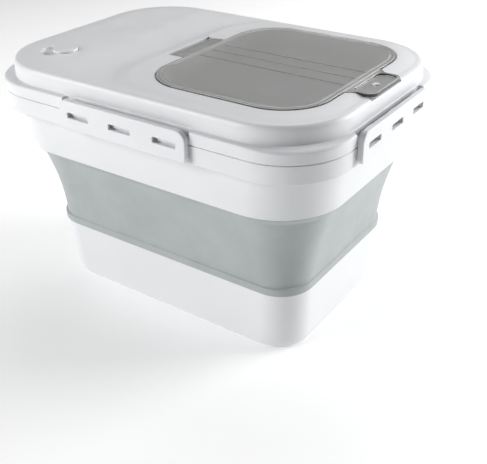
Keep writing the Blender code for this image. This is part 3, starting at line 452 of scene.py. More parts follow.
def soften(section, closed, steps=4):
    """Rounds a section's corners. A point is a place, whose last value is its height, and a softness."""
    softened = []
    count = len(section)
    for i, (*place, softness) in enumerate(section):
        here = Vector(place)
        if softness == 0.0 or (not closed and i in (0, count - 1)):
            softened.append(tuple(here))
            continue
        ends = []
        for neighbour in (section[i - 1], section[(i + 1) % count]):
            way = Vector(neighbour[:-1]) - here
            length = math.hypot(way[0], way[-1])
            ends.append(here + way * min(softness / length, 0.45))
        for step in range(steps + 1):
            s = step / steps
            softened.append(tuple(ends[0] * (1 - s) ** 2 + here * (2 * s * (1 - s)) + ends[1] * s * s))
    return softened


def arc(hub, radius, first, last, steps, rise=None):
    """Points round a hub, with angles in degrees; rise is the second axis's radius where it differs."""
    rise = radius if rise is None else rise
    turns = [math.radians(first + (last - first) * step / steps) for step in range(steps + 1)]
    return [(hub[0] + radius * math.cos(turn), hub[1] + rise * math.sin(turn)) for turn in turns]


def loft(rings, closed):
    """A solid through rings of equal length: a closed loop of rings, or a stack with both ends capped."""
    shape = bmesh.new()
    rows = [[shape.verts.new(point) for point in points] for points in rings]
    count = len(rows[0])
    pairs = list(zip(rows, rows[1:]))
    if closed:
        pairs.append((rows[-1], rows[0]))
    else:
        shape.faces.new(rows[0])
        shape.faces.new(rows[-1])
    for low, high in pairs:
        for i in range(count):
            j = (i + 1) % count
            shape.faces.new((low[i], low[j], high[j], high[i]))
    bmesh.ops.recalc_face_normals(shape, faces=shape.faces)
    return shape


def section_loft(section, closed):
    """A loft through the flange-like rings of a softened section."""
    return loft([ring(*place) for place in soften(section, closed)], closed)


def prism(polygon, low, high):
    """A solid from a polygon of (x, y) points between two heights."""
    return loft([[(x, y, low) for x, y in polygon], [(x, y, high) for x, y in polygon]], closed=False)


def box(low, high):
    flat = [(low[0], low[1]), (high[0], low[1]), (high[0], high[1]), (low[0], high[1])]
    return prism(flat, low[2], high[2])


def circle(radius, height, steps):
    turns = [math.tau * step / steps for step in range(steps)]
    return [(radius * math.cos(turn), radius * math.sin(turn), height) for turn in turns]


def turned(profile, closed=False, steps=64):
    """A solid turned about Z from (radius, height, softness) points."""
    return loft([circle(radius, height, steps) for radius, height in soften(profile, closed)], closed)


def rod(radius, start, end, chamfer=0.0003):
    """A round bar from start to end, with eased ends."""
    start, end = Vector(start), Vector(end)
    length = (end - start).length
    profile = [(radius - chamfer, 0.0, 0.0), (radius, 0.0, chamfer), (radius, length, chamfer)]
    shape = turned(profile + [(radius - chamfer, length, 0.0)], steps=24)
    turn = (end - start).to_track_quat("Z", "Y").to_matrix().to_4x4()
    return moved(shape, Matrix.Translation(start) @ turn)


def along_side(profile, start, end):
    """A solid with an (outward, up) profile, running along a side from start to end."""
    rings = [[(out, start, up) for out, up in profile], [(out, end, up) for out, up in profile]]
    return loft(rings, closed=False)


def moved(shape, matrix):
    bmesh.ops.transform(shape, matrix=matrix, verts=shape.verts)
    return shape


def gathered(shapes):
    """Several shapes in one."""
    whole = bmesh.new()
    mesh = bpy.data.meshes.new("gathered")
    for shape in shapes:
        bmesh.ops.recalc_face_normals(shape, faces=shape.faces)
        shape.to_mesh(mesh)
        shape.free()
        whole.from_mesh(mesh)
    bpy.data.meshes.remove(mesh)
    return whole


def combined(shape, tools, operation):
    """The shape with a Boolean of some tools, which are apart from each other."""
    objects = []
    for part in (shape, gathered(tools)):
        mesh = bpy.data.meshes.new("working")
        part.to_mesh(mesh)
        part.free()
        objects.append(bpy.data.objects.new("working", mesh))
        bpy.context.scene.collection.objects.link(objects[-1])
    target, tool = objects
    modifier = target.modifiers.new("working", "BOOLEAN")
    modifier.operation = operation
    modifier.object = tool
    result = bmesh.new()
    result.from_object(target, bpy.context.evaluated_depsgraph_get())
    for item in objects:
        mesh = item.data
        bpy.data.objects.remove(item)
        bpy.data.meshes.remove(mesh)
    return result


def finish_piece(name, shape, material, body, node, sharp=32.0):
    """Makes the object, smooths it, hides the CAD node it stands for, and ties it to its body when one is
    given.
    """
    mesh = bpy.data.meshes.new(name)
    shape.to_mesh(mesh)
    shape.free()
    mesh.shade_smooth()
    mesh.set_sharp_from_angle(angle=math.radians(sharp))
    mesh.materials.append(material)
    made = bpy.data.objects.new(name, mesh)
    bpy.context.scene.collection.objects.link(made)
    weighted = made.modifiers.new("weighted", "WEIGHTED_NORMAL")
    weighted.keep_sharp = True
    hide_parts(node)
    if body:
        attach(made, body)
    return made


# ---- Tub, feet, band and collar ----


def foot_place(foot):
    spot = middle(f"foot_{foot}")
    return Matrix.Translation((spot.x, spot.y, 0.0))


def make_tub(material):
    """The lower tub, with a stepped base so that it stands on its feet and a rounded bottom edge."""
    rim_top = TUB_TOP + LIP_HEIGHT - RUBBER_WALL
    inner_rim, inner_foot = TUB_RIM_INSET + WALL, TUB_FOOT_INSET + WALL
    section = [
        (TUB_FOOT_INSET + RECESS_MIDDLE[0], RECESS_MIDDLE[1], BASE + TUB_RECESS, 0.0),
        (TUB_FOOT_INSET + RECESS_WALL_TOP[0], RECESS_WALL_TOP[1], BASE + TUB_RECESS, RECESS_EDGE),
        (TUB_FOOT_INSET + RECESS_WALL_FOOT[0], RECESS_WALL_FOOT[1], BASE, RECESS_EDGE),
        (TUB_FOOT_INSET, TUB_FOOT_CORNER, BASE, TUB_BOTTOM_EDGE),
        (TUB_RIM_INSET, TUB_RIM_CORNER, TUB_TOP, 0.0004),
        (TUB_RIM_INSET, TUB_RIM_CORNER, rim_top, EDGE),
        (inner_rim, TUB_RIM_CORNER - WALL, rim_top, EDGE),
        (inner_rim, TUB_RIM_CORNER - WALL, TUB_TOP, 0.0),
        (inner_foot, TUB_FOOT_CORNER - WALL, BASE + TUB_FLOOR, TUB_INNER_EDGE),
        (TUB_FOOT_INSET + FLOOR_MIDDLE[0], FLOOR_MIDDLE[1], BASE + TUB_FLOOR, 0.0),
    ]
    pockets = []
    for foot in FEET:
        profile = [(FOOT_RADIUS + FIT, -CUT_OVER, 0.0), (FOOT_RADIUS + FIT, FOOT_THICKNESS + FIT, 0.0)]
        pockets.append(moved(turned(profile), foot_place(foot)))
    shape = combined(section_loft(section, False), pockets, "DIFFERENCE")
    finish_piece("tub_shell", shape, material, "tub", "lower_tub")


def make_feet(material):
    """Anti-slip pads with an eased edge and a small dimple under each."""
    for foot in FEET:
        profile = [(HUB, DIMPLE_DEPTH, 0.0), (DIMPLE_RADIUS, 0.0, 0.0015), (FOOT_RADIUS, 0.0, EDGE)]
        profile += [(FOOT_RADIUS, FOOT_THICKNESS, PAD_EDGE), (HUB, FOOT_THICKNESS, 0.0)]
        shape = moved(turned(profile), foot_place(foot))
        finish_piece(f"foot_pad_{foot}", shape, material, "tub", f"foot_{foot}")


def make_band(material):
    """The folding band: a lip over the tub, a bowed wall and a shoulder tucked under the collar."""
    low_inset = TUB_RIM_INSET - LIP_PROUD
    high_inset = COLLAR_FOOT_INSET + BAND_SHOULDER
    low, high = TUB_TOP + LIP_HEIGHT, COLLAR_FOOT - BAND_SHOULDER
    high_corner = COLLAR_FOOT_CORNER - BAND_SHOULDER
    steps = 14
    wall = []
    for step in range(steps + 1):
        share = step / steps
        bow = BAND_BOW * math.sin(math.pi * share)
        inset = low_inset + LIP_STEP + (high_inset - low_inset - LIP_STEP) * share + bow
        corner = TUB_RIM_CORNER + (high_corner - TUB_RIM_CORNER) * share
        softness = 0.0016 if step in (0, steps) else 0.001
        wall.append((inset, corner, low + (high - low) * share, softness))
    tongue_inset = COLLAR_FOOT_INSET + WALL + FIT
    tongue_corner = COLLAR_FOOT_CORNER - WALL - FIT
    inner_inset, inner_corner = tongue_inset + RUBBER_WALL, tongue_corner - RUBBER_WALL
    rim_inner = TUB_RIM_INSET + RUBBER_WALL
    lip_top = low - RUBBER_WALL + FIT
    section = [
        (TUB_RIM_INSET - FIT, TUB_RIM_CORNER + FIT, TUB_TOP + FIT, 0.0),
        (low_inset, TUB_RIM_CORNER, TUB_TOP + FIT, EDGE),
        (low_inset, TUB_RIM_CORNER, low - EDGE, EDGE),
    ]
    section += wall
    section += [
        (COLLAR_FOOT_INSET + BAND_STEP, COLLAR_FOOT_CORNER, COLLAR_FOOT - 2 * FIT, EDGE),
        (tongue_inset, tongue_corner, COLLAR_FOOT - FIT, 0.0),
        (tongue_inset, tongue_corner, COLLAR_FOOT + BAND_TONGUE, EDGE),
        (inner_inset, inner_corner, COLLAR_FOOT + BAND_TONGUE, EDGE),
        (inner_inset, inner_corner, COLLAR_FOOT - FIT - RUBBER_WALL, 0.001),
    ]
    for inset, corner, height, softness in reversed(wall[1:]):
        section.append((inset + RUBBER_WALL, corner - RUBBER_WALL, height + FIT, softness))
    section += [
        (rim_inner, TUB_RIM_CORNER - RUBBER_WALL, lip_top + RUBBER_WALL, EDGE),
        (rim_inner, TUB_RIM_CORNER - RUBBER_WALL, lip_top, 0.0),
        (TUB_RIM_INSET - FIT, TUB_RIM_CORNER + FIT, lip_top, 0.0),
    ]
    shape = section_loft(section, True)
    skin = finish_piece("band_skin", shape, material, None, "folding_band")
    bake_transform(skin)


def make_collar(material):
    """The upper collar: a drafted wall, the overhanging rim, the seal's upstand and the latch hooks."""
    step_height = PARTING - RIM_DEPTH
    wall_corner = SEAL_CORNER - RIM_STEP
    upstand_top = PARTING + UPSTAND_HEIGHT
    upstand_inner = UPSTAND_INSET + UPSTAND_WIDTH
    section = [
        (COLLAR_FOOT_INSET, COLLAR_FOOT_CORNER, COLLAR_FOOT, EDGE),
        (RIM_STEP, wall_corner, step_height + RIM_ROOT, EDGE),
        (RIM_STEP - RIM_DRAFT, wall_corner + RIM_DRAFT, PARTING - WALL - FIT, EDGE),
        (WALL, FLANGE_CORNER - WALL, PARTING - WALL - FIT, EDGE),
        (WALL + RIM_DRAFT / 2, FLANGE_CORNER - WALL, step_height, EDGE),
        (RIM_DRAFT, FLANGE_CORNER - RIM_DRAFT, step_height, 0.0011),
        (0.0, FLANGE_CORNER, PARTING - FIT, EDGE),
        (UPSTAND_INSET, SEAL_CORNER - UPSTAND_INSET, PARTING - FIT, EDGE),
        (UPSTAND_INSET, SEAL_CORNER - UPSTAND_INSET, upstand_top, EDGE),
        (upstand_inner, SEAL_CORNER - upstand_inner, upstand_top, EDGE),
        (RIM_STEP + WALL, wall_corner - WALL, step_height + RIM_ROOT, 0.002),
        (COLLAR_FOOT_INSET + WALL, COLLAR_FOOT_CORNER - WALL, COLLAR_FOOT, EDGE),
    ]
    hooks = []
    foot = LATCH_TOP - SLOT_DROP - SLOT_HEIGHT + HOOK_LIFT
    profile = [(-EDGE, foot), (HOOK_DEPTH - EDGE / 2, foot), (HOOK_DEPTH, foot + EDGE / 2)]
    profile += [(HOOK_DEPTH, foot + HOOK_HEIGHT / 2), (HOOK_DEPTH / 2, foot + HOOK_HEIGHT)]
    profile.append((-EDGE, foot + HOOK_HEIGHT))
    for name, axis, heading in SIDES:
        half = slot_length(name, axis) / 2 - HOOK_END_GAP
        for offset in slot_offsets(name, axis):
            hook = along_side(profile, offset - half, offset + half)
            hooks.append(moved(hook, side_frame(heading)))
    shape = combined(section_loft(section, True), hooks, "UNION")
    finish_piece("collar_shell", shape, material, "collar", "upper_collar")


# ---- Lid ----


def rise_between(value):
    """0 to 1 with level ends."""
    value = min(max(value, 0.0), 1.0)
    return value * value * (3 - 2 * value)


def inside_distance(x, y, half_x, half_y, corner):
    """How far a point is inside a round-cornered rectangle; negative outside."""
    over_x = abs(x) - (half_x - corner)
    over_y = abs(y) - (half_y - corner)
    if over_x > 0 and over_y > 0:
        return corner - math.hypot(over_x, over_y)
    return corner - max(over_x, over_y)


def top_height(x, y):
    """The lid's upper face: crowned to its shoulder, with a swale between the vent side and the platform."""
    depth = inside_distance(
        x, y, HALF_LENGTH - SHOULDER_INSET, HALF_WIDTH - SHOULDER_INSET, SHOULDER_CORNER
    )
    crown = 1 - (1 - min(max(depth / CROWN_WIDTH, 0.0), 1.0)) ** 2
    half_platform = HALF_LENGTH - PLATFORM_START
    half_across = HALF_WIDTH - SHOULDER_INSET + RAMP_WIDTH / 2
    on_ramp = inside_distance(x - HALF_LENGTH, y, half_platform, half_across, PLATFORM_CORNER)
    on_platform = rise_between(on_ramp / RAMP_WIDTH)
    into_swale = rise_between((x - PLATFORM_START + SWALE_WIDTH) / SWALE_WIDTH)
    store_side = STORE_RISE - SWALE_DEPTH * into_swale
    return SHOULDER + crown * (store_side + (PLATFORM_RISE - store_side) * on_platform)


VENT_TOP = top_height(VENT_X, VENT_Y)
VENT_FLOOR = VENT_TOP - VENT_POCKET_DEPTH


def shoulder_rings(thickness, steps=14):
    """The raised wall's rings from crease to shoulder; thickness moves them inside the wall."""
    made = []
    for step in range(1, steps + 1):
        angle = math.pi / 2 * step / steps
        share = 1 - math.cos(angle) ** SHOULDER_FULLNESS
        inset = CREASE_INSET + (SHOULDER_INSET - CREASE_INSET) * share
        corner = CREASE_CORNER + (SHOULDER_CORNER - CREASE_CORNER) * share
        height = CREASE + SHOULDER_HEIGHT * math.sin(angle) ** SHOULDER_FULLNESS
        made.append(ring(inset + thickness, corner - thickness, height - thickness * math.sin(angle)))
    return made


def between(outer, inner, share, drop):
    """A ring part way between two others, laid on the lid's upper face less drop."""
    made = []
    for (x0, y0, _), (x1, y1, _) in zip(outer, inner):
        x, y = x0 + (x1 - x0) * share, y0 + (y1 - y0) * share
        made.append((x, y, top_height(x, y) - drop))
    return made


def lip_rings(radius, steps=5):
    """The rounded edge where the lid's top turns down into the hatch's recess."""
    made = []
    for step in range(steps + 1):
        angle = math.pi / 2 * step / steps
        drop = radius * (1 - math.cos(angle))
        flat = hatch_ring(HATCH_GAP + radius * (1 - math.sin(angle)), 0.0)
        made.append([(x, y, top_height(x, y) - drop) for x, y, _ in flat])
    return made


def lid_shape():
    """The lid's skin: flange, raised wall, top, hatch recess, and back beneath to the seal channel."""
    def seal(inset, height, softness):
        return inset, SEAL_CORNER - inset, height, softness

    def flange(inset, height, softness):
        return inset, FLANGE_CORNER - inset, height, softness

    foot = PARTING + FIT
    roof = SEAL_HIGH.z + FIT
    skirt_inner = SKIRT_INSET + WALL
    outside = [
        flange(CHANNEL_INSET, foot, 0.0),
        flange(0.0, foot, EDGE),
        flange(0.0, CREASE - FLANGE_FALL, FLANGE_EDGE_RADIUS),
        (CREASE_INSET, CREASE_CORNER, CREASE, 0.0010),
        (CREASE_INSET, CREASE_CORNER, CREASE + 0.0015, 0.0),
    ]
    recess = [
        (HATCH_GAP, SEAT + 0.0012, 0.0),
        (HATCH_GAP, SEAT, 0.0006),
        (-SEAT_WIDTH, SEAT, EDGE),
        (-SEAT_WIDTH, MOUTH_BOTTOM, EDGE),
        (WALL - SEAT_WIDTH, MOUTH_BOTTOM, EDGE),
        (WALL - SEAT_WIDTH, SEAT - WALL, 0.0015),
        (HATCH_GAP + WALL, SEAT - WALL, 0.0),
    ]
    inside = [
        seal(skirt_inner, CREASE - 0.001, 0.0),
        seal(skirt_inner, PARTING - SKIRT_DROP, EDGE),
        seal(SKIRT_INSET + SKIRT_DRAFT, PARTING - SKIRT_DROP, EDGE),
        seal(SKIRT_INSET, roof, 0.0),
        seal(CHANNEL_INSET, roof, 0.0),
    ]
    edge = ring(SHOULDER_INSET, SHOULDER_CORNER, SHOULDER)
    lip = lip_rings(EDGE)
    steps = 84
    rings = [ring(*place) for place in soften(outside, False)]
    rings += shoulder_rings(0.0)[1:]
    rings += [between(edge, lip[0], step / steps, 0.0) for step in range(1, steps)]
    rings += lip
    rings += [hatch_ring(*place) for place in soften(recess, False)]
    under_edge = ring(SHOULDER_INSET + WALL, SHOULDER_CORNER - WALL, SHOULDER)
    under_recess = hatch_ring(HATCH_GAP + WALL, SEAT)
    rings += [between(under_edge, under_recess, share / 10, WALL) for share in range(9, 0, -1)]
    rings += reversed(shoulder_rings(WALL, 6)[1:])
    rings += [ring(*place) for place in soften(inside, False)]
    return loft(rings, closed=True)


def dish_profile():
    """The finger scoop's cutter: a bowl that flares into the lid's top."""
    bowl = arc((0.0, 0.0), SCOOP_RADIUS, -90, 0, 9, SCOOP_DEPTH)[1:]
    flare = [(SCOOP_RADIUS + EDGE / 2, EDGE / 2), (SCOOP_RADIUS + EDGE, 4 * CUT_OVER)]
    return [(SCOOP_RADIUS * SCOOP_FLAT, -SCOOP_DEPTH)] + bowl + flare


def scoop_place():
    """Where the scoop's bowl lies: towards the lid's corner from the vent, and narrower that way."""
    middle = (VENT_X - SCOOP_OFFSET, VENT_Y - SCOOP_OFFSET, VENT_TOP)
    narrow = Matrix.Diagonal((SCOOP_NARROWING, 1.0, 1.0, 1.0))
    return Matrix.Translation(middle) @ Matrix.Rotation(math.pi / 4, 4, "Z") @ narrow


def lid_additions():
    """Solid pads beneath the lid's skin, where pockets are cut."""
    pad = VENT_RADIUS + VENT_PAD_WIDTH
    backing = [(SCOOP_RADIUS, -SCOOP_DEPTH - WALL, 0.0), (SCOOP_RADIUS + WALL, EDGE - WALL, 0.0)]
    side = TONGUE_WIDTH / 2 + PIN_GRIP + WALL
    half_tab = TAB_ROOT_WIDTH / 2 + WALL
    yield moved(turned([(pad, VENT_FLOOR - WALL, 0.0), (pad, VENT_FLOOR + EDGE, 0.0)]), VENT_PLACE)
    yield moved(turned(backing), scoop_place())
    low = (POCKET_BACK - WALL, -side, POCKET_FLOOR - WALL)
    yield box(low, (HATCH_START - HATCH_GAP - FIT, side, SHOULDER - EDGE))
    low = (HATCH_END - EDGE, -half_tab, NOTCH_FLOOR - WALL)
    yield box(low, (HALF_LENGTH - SHOULDER_INSET + WALL, half_tab, NOTCH_FLOOR + EDGE))


def notch_outline(half):
    """A latch notch's plan, as (outward, along) points, with its two inner corners rounded."""
    corner = arc((NOTCH_CORNER - NOTCH_DEPTH, half - NOTCH_CORNER), NOTCH_CORNER, 90, 180, 10)
    mirrored = [(out, -along) for out, along in reversed(corner)]
    return [(CUT_OVER, -half), (CUT_OVER, half)] + corner + mirrored


def lid_cuts():
    """The vent pocket and scoop, the hinge pocket, the tab notch and the latch notches."""
    pocket = VENT_RADIUS + 2 * FIT
    above = HATCH_TOP + CUT_OVER
    hole = STEM_RADIUS + FIT
    bowl = loft([circle(radius, height, 64) for radius, height in dish_profile()], closed=False)
    well = [(hole, VENT_FLOOR - STEM_LENGTH - FIT, 0.0), (hole, VENT_FLOOR, 0.0), (pocket, VENT_FLOOR, 0.0)]
    well += [(pocket, VENT_TOP - EDGE / 2, 0.0), (pocket + EDGE / 2, VENT_TOP + EDGE / 4, 0.0)]
    well.append((pocket + EDGE, above, 0.0))
    half_tongue = TONGUE_WIDTH / 2 + 2 * FIT
    yield moved(bowl, scoop_place())
    yield moved(turned(well), VENT_PLACE)
    low = (POCKET_BACK, -half_tongue, POCKET_FLOOR)
    yield box(low, (HATCH_START + SEAT_WIDTH / 2, half_tongue, above))
    notch = tab_outline(2 * FIT, HATCH_END - 2 * CUT_OVER, HALF_LENGTH + CUT_OVER)
    yield prism(notch, NOTCH_FLOOR, above)
    for name, axis, heading in SIDES:
        half = latch_length(name, axis) / 2 + 2 * FIT
        notch = prism(notch_outline(half), CREASE - NOTCH_HEIGHT, CREASE + CUT_OVER)
        yield moved(notch, side_frame(heading))


def lid_lugs():
    """The lugs that hold the latch pins."""
    root = CREASE - NOTCH_HEIGHT - EDGE
    profile = [(-PIN_INSET + LUG_RADIUS, root), (-PIN_INSET - LUG_RADIUS, root)]
    profile += arc((-PIN_INSET, PIN_Z), LUG_RADIUS, 180, 0, 16)
    for name, axis, heading in SIDES:
        for offset in lug_offsets(name, axis):
            shape = along_side(profile, offset - LUG_WIDTH / 2, offset + LUG_WIDTH / 2)
            yield moved(shape, side_frame(heading))


def make_lid(material):
    shape = lid_shape()
    for pad in lid_additions():
        shape = combined(shape, [pad], "UNION")
    for cutter in lid_cuts():
        shape = combined(shape, [cutter], "DIFFERENCE")
    shape = combined(shape, list(lid_lugs()), "UNION")
    finish_piece("lid_moulding", shape, material, "lid", "lid_shell")


def make_lid_gasket(material):
    """The sealing ring: a soft tube-like section squeezed on the collar's upstand."""
    outer, inner = CHANNEL_INSET + FIT, SKIRT_INSET - SEAL_CLEARANCE
    low, high = SEAL_LOW.z, SEAL_HIGH.z
    section = []
    for inset, height in ((outer, low), (outer, high), (inner, high), (inner, low)):
        section.append((inset, SEAL_CORNER - inset, height, SEAL_SOFTNESS))
    finish_piece("lid_seal_ring", section_loft(section, True), material, "lid", "lid_gasket")


# ---- Latches ----


def side_frame(heading):
    """Places a side's own frame: +X outward from the flange face, Y along the side, Z up."""
    turn = math.radians(heading)
    reach = HALF_LENGTH if heading in (0, 180) else HALF_WIDTH
    return Matrix.Rotation(turn, 4, "Z") @ Matrix.Translation((reach, 0.0, 0.0))


def length_along(piece, axis):
    """A piece's length along its side. It lies along X on the sides that face Y."""
    low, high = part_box(piece)
    return high.x - low.x if axis == "y" else high.y - low.y


def latch_length(name, axis):
    return length_along(f"latch_{name}", axis)


def slot_pitch(name, axis):
    return latch_length(name, axis) / 2 - SLOT_END_DISTANCE


def slot_offsets(name, axis):
    pitch = slot_pitch(name, axis)
    return (-pitch, 0.0, pitch)


def slot_length(name, axis):
    return SLOT_SHARE * slot_pitch(name, axis)


def lug_offsets(name, axis):
    end = latch_length(name, axis) / 2 - LUG_END_INSET
    middle = slot_pitch(name, axis) / 2
    return (-end, -middle, middle, end)


def latch_outline(length, shrink):
    """The latch plate's face as (along, up) points, with wide upper and tight lower corners."""
    top, bottom = LATCH_TOP - shrink, LATCH_LOW + shrink
    half = length / 2 - shrink
    upper, lower = LATCH_CORNER - shrink, 0.5 * LATCH_CORNER - shrink
    points = []
    for hub, radius, first in (
        ((half - upper, top - upper), upper, 0),
        ((-half + upper, top - upper), upper, 90),
        ((-half + lower, bottom + lower), lower, 180),
        ((half - lower, bottom + lower), lower, 270),
    ):
        points += arc(hub, radius, first, first + 90, 10)
    return points


def latch_slot(offset, half_length, out_from):
    """The cutter of one slot, flared at the plate's face."""
    rings = []
    middle = LATCH_TOP - SLOT_DROP - SLOT_HEIGHT / 2
    for out, grow in (
        (out_from, 0.0),
        (LATCH_PROUD - EDGE, 0.0),
        (LATCH_PROUD - EDGE * 0.3, EDGE * 0.3),
        (LATCH_PROUD, EDGE),
        (LATCH_PROUD + EDGE, 3 * EDGE),
    ):
        half_height = SLOT_HEIGHT / 2 + grow
        flat = outline(half_length + grow, half_height, SLOT_CORNER + grow, 0.0, 1, 6)
        rings.append([(out, offset + along, middle + up) for along, up in flat])
    return loft(rings, closed=False)


def latch_shape(length, pitch):
    """A tray-like plate with a soft face edge, knuckles round its pin, slots and catch ribs."""
    face = [(LATCH_GAP, EDGE / 2), (LATCH_GAP + EDGE / 2, 0.0)]
    face += arc((LATCH_PROUD - LATCH_EDGE, LATCH_EDGE), LATCH_EDGE, -90, 0, 6)
    rings = []
    for out, shrink in face:
        rings.append([(out, along, up) for along, up in latch_outline(length, shrink)])
    plate = loft(rings, closed=False)
    hollow = []
    for along, up in latch_outline(length, LATCH_HOLLOW):
        lifted = up if up > LATCH_LOW + LATCH_SKIRT else LATCH_LOW - EDGE
        if not hollow or math.dist((along, lifted), hollow[-1]) > FIT / 3:
            hollow.append((along, lifted))
    inner = LATCH_PROUD - LATCH_WALL
    cavity = loft([[(out, along, up) for along, up in hollow] for out in (-EDGE, inner)], closed=False)
    plate = combined(plate, [cavity], "DIFFERENCE")
    into_plate = inner + EDGE
    half_slot = SLOT_SHARE * pitch / 2
    profile = [(into_plate, PIN_Z - PIN_RADIUS), (into_plate, LATCH_TOP - EDGE), (EDGE, LATCH_TOP - EDGE)]
    profile += arc((-PIN_INSET, PIN_Z), KNUCKLE_RADIUS, 80, 310, 14)
    rib_top = LATCH_TOP - SLOT_DROP - SLOT_HEIGHT - 2 * FIT
    half_rib = half_slot - HOOK_END_GAP
    additions = []
    for offset in (-pitch, 0.0, pitch):
        additions.append(along_side(profile, offset - KNUCKLE_WIDTH / 2, offset + KNUCKLE_WIDTH / 2))
        low = (HOOK_DEPTH + FIT, offset - half_rib, rib_top - CATCH_RIB_HEIGHT)
        additions.append(box(low, (into_plate, offset + half_rib, rib_top)))
    plate = combined(plate, additions, "UNION")
    slots = [latch_slot(offset, half_slot, inner - EDGE) for offset in (-pitch, 0.0, pitch)]
    return combined(plate, slots, "DIFFERENCE")


def make_latches(plastic, steel):
    for name, axis, heading in SIDES:
        place = side_frame(heading)
        shape = moved(latch_shape(latch_length(name, axis), slot_pitch(name, axis)), place)
        body = f"latch_{name}"
        finish_piece(f"latch_plate_{name}", shape, plastic, body, body)
        reach = length_along(f"latch_{name}_pin", axis) / 2
        axis_z = middle(f"latch_{name}_pin").z
        start, end = (place @ Vector((-PIN_INSET, along, axis_z)) for along in (-reach, reach))
        pin = rod(PIN_RADIUS, start, end)
        finish_piece(f"latch_wire_{name}", pin, steel, "lid", f"latch_{name}_pin")


# ---- Hatch ----


def tab_outline(grow, start, end, steps=12):
    """The finger tab's plan: a wide root that narrows to a round-cornered end."""
    half_root = TAB_ROOT_WIDTH / 2 + grow
    half = TAB_WIDTH / 2 + grow
    corner = TAB_CORNER + grow
    neck = HATCH_END + 0.35 * (TAB_END - HATCH_END)
    points = [(start, half_root), (start, -half_root), (HATCH_END, -half_root)]
    for step in range(1, steps):
        share = step / steps
        across = -half_root + (half_root - half) * rise_between(share)
        points.append((HATCH_END + (neck - HATCH_END) * share, across))
    points.append((neck, -half))
    points += arc((end - corner, corner - half), corner, -90, 0, steps)
    return points + [(x, -y) for x, y in reversed(points[2:])]


def dish_outline(grow):
    """The tab's recess: a round-cornered plan that keeps the tab's rim."""
    start, end = HATCH_END + TAB_RIM + EDGE - grow, TAB_END - TAB_RIM + grow
    half = TAB_WIDTH / 2 - TAB_RIM + grow
    return outline((end - start) / 2, half, DISH_CORNER + grow, (start + end) / 2, 1, 12)


def hatch_shape():
    """The panel with its rim and bead, the tab, and the tongue with its barrel."""
    section = [
        (-HATCH_RIM - SEAT_WIDTH, HATCH_BOTTOM, 0.0),
        (0.0, HATCH_BOTTOM, EDGE),
        (0.0, HATCH_TOP, EDGE),
        (-HATCH_RIM * RIM_CREST, HATCH_TOP, 0.0005),
        (-HATCH_RIM * RIM_FOOT, PANEL_TOP, BEAD_EDGE),
        (-HATCH_RIM * BEAD_START, PANEL_TOP, BEAD_EDGE),
        (-HATCH_RIM * BEAD_CREST, HATCH_TOP - PANEL_DROP * BEAD_DROP, BEAD_EDGE),
        (-HATCH_RIM * BEAD_END, PANEL_TOP, BEAD_EDGE),
        (-HATCH_RIM - SEAT_WIDTH, PANEL_TOP, 0.0),
    ]
    panel = loft([hatch_ring(*place) for place in soften(section, False)], closed=False)
    rings = []
    for grow, height in (
        (-EDGE, TAB_TOP - TAB_THICKNESS),
        (0.0, TAB_TOP - TAB_THICKNESS + EDGE),
        (0.0, TAB_TOP - EDGE),
        (-EDGE * 0.3, TAB_TOP - EDGE * 0.3),
        (-EDGE, TAB_TOP),
    ):
        flat = tab_outline(grow, HATCH_END - CUT_OVER, TAB_END + grow)
        rings.append([(x, y, height) for x, y in flat])
    profile = [(HATCH_START + CUT_OVER, PANEL_TOP)]
    profile += arc((HINGE_X, HINGE_Z), BARREL_RADIUS, 85, 325, 20)
    profile.append((HINGE_X + 2 * BARREL_RADIUS, HATCH_TOP - TONGUE_ROOT_DROP))
    profile.append((HATCH_START + CUT_OVER, HATCH_BOTTOM + FIT))
    half = TONGUE_WIDTH / 2
    tongue = loft([[(x, y, z) for x, z in profile] for y in (-half, half)], closed=False)
    return combined(panel, [loft(rings, closed=False), tongue], "UNION")


def hatch_cuts():
    """The three grooves and the tab's dish."""
    start, end = HATCH_START + RIB_START, HATCH_END - RIB_END_SHARE * HATCH_RIM
    groove = arc((0.0, 0.0), RIB_WIDTH / 2, 180, 360, 8, RIB_DEPTH)
    profile = [(-RIB_WIDTH, EDGE), *groove, (RIB_WIDTH, EDGE)]
    for row in (-1, 0, 1):
        rings = []
        for x in (start, end):
            rings.append([(x, row * RIB_SPACING + across, PANEL_TOP + up) for across, up in profile])
        yield loft(rings, closed=False)
    rings = []
    for grow, height in (
        (-0.0012, DISH_FLOOR),
        (-0.0004, DISH_FLOOR + 0.0003),
        (0.0, DISH_FLOOR + 0.0010),
        (0.0, TAB_TOP - 0.0005),
        (0.0003, TAB_TOP - 0.0001),
        (0.0010, TAB_TOP + 0.0006),
    ):
        rings.append([(x, y, height) for x, y in dish_outline(grow)])
    yield loft(rings, closed=False)


def hatch_bores():
    """The hole round the stud and the bore for the hinge pin."""
    hole = STUD_RADIUS + 2 * FIT
    profile = [(hole, TAB_TOP - TAB_THICKNESS - EDGE, 0.0), (hole, DISH_FLOOR - 2 * FIT, 0.0)]
    profile.append((hole + 0.0012, DISH_FLOOR + 2 * FIT, 0.0))
    yield moved(turned(profile), Matrix.Translation((STUD_X, 0.0, 0.0)))
    reach = TONGUE_WIDTH / 2 + EDGE
    yield rod(PIN_RADIUS + FIT, (HINGE_X, -reach, HINGE_Z), (HINGE_X, reach, HINGE_Z), 0.0001)


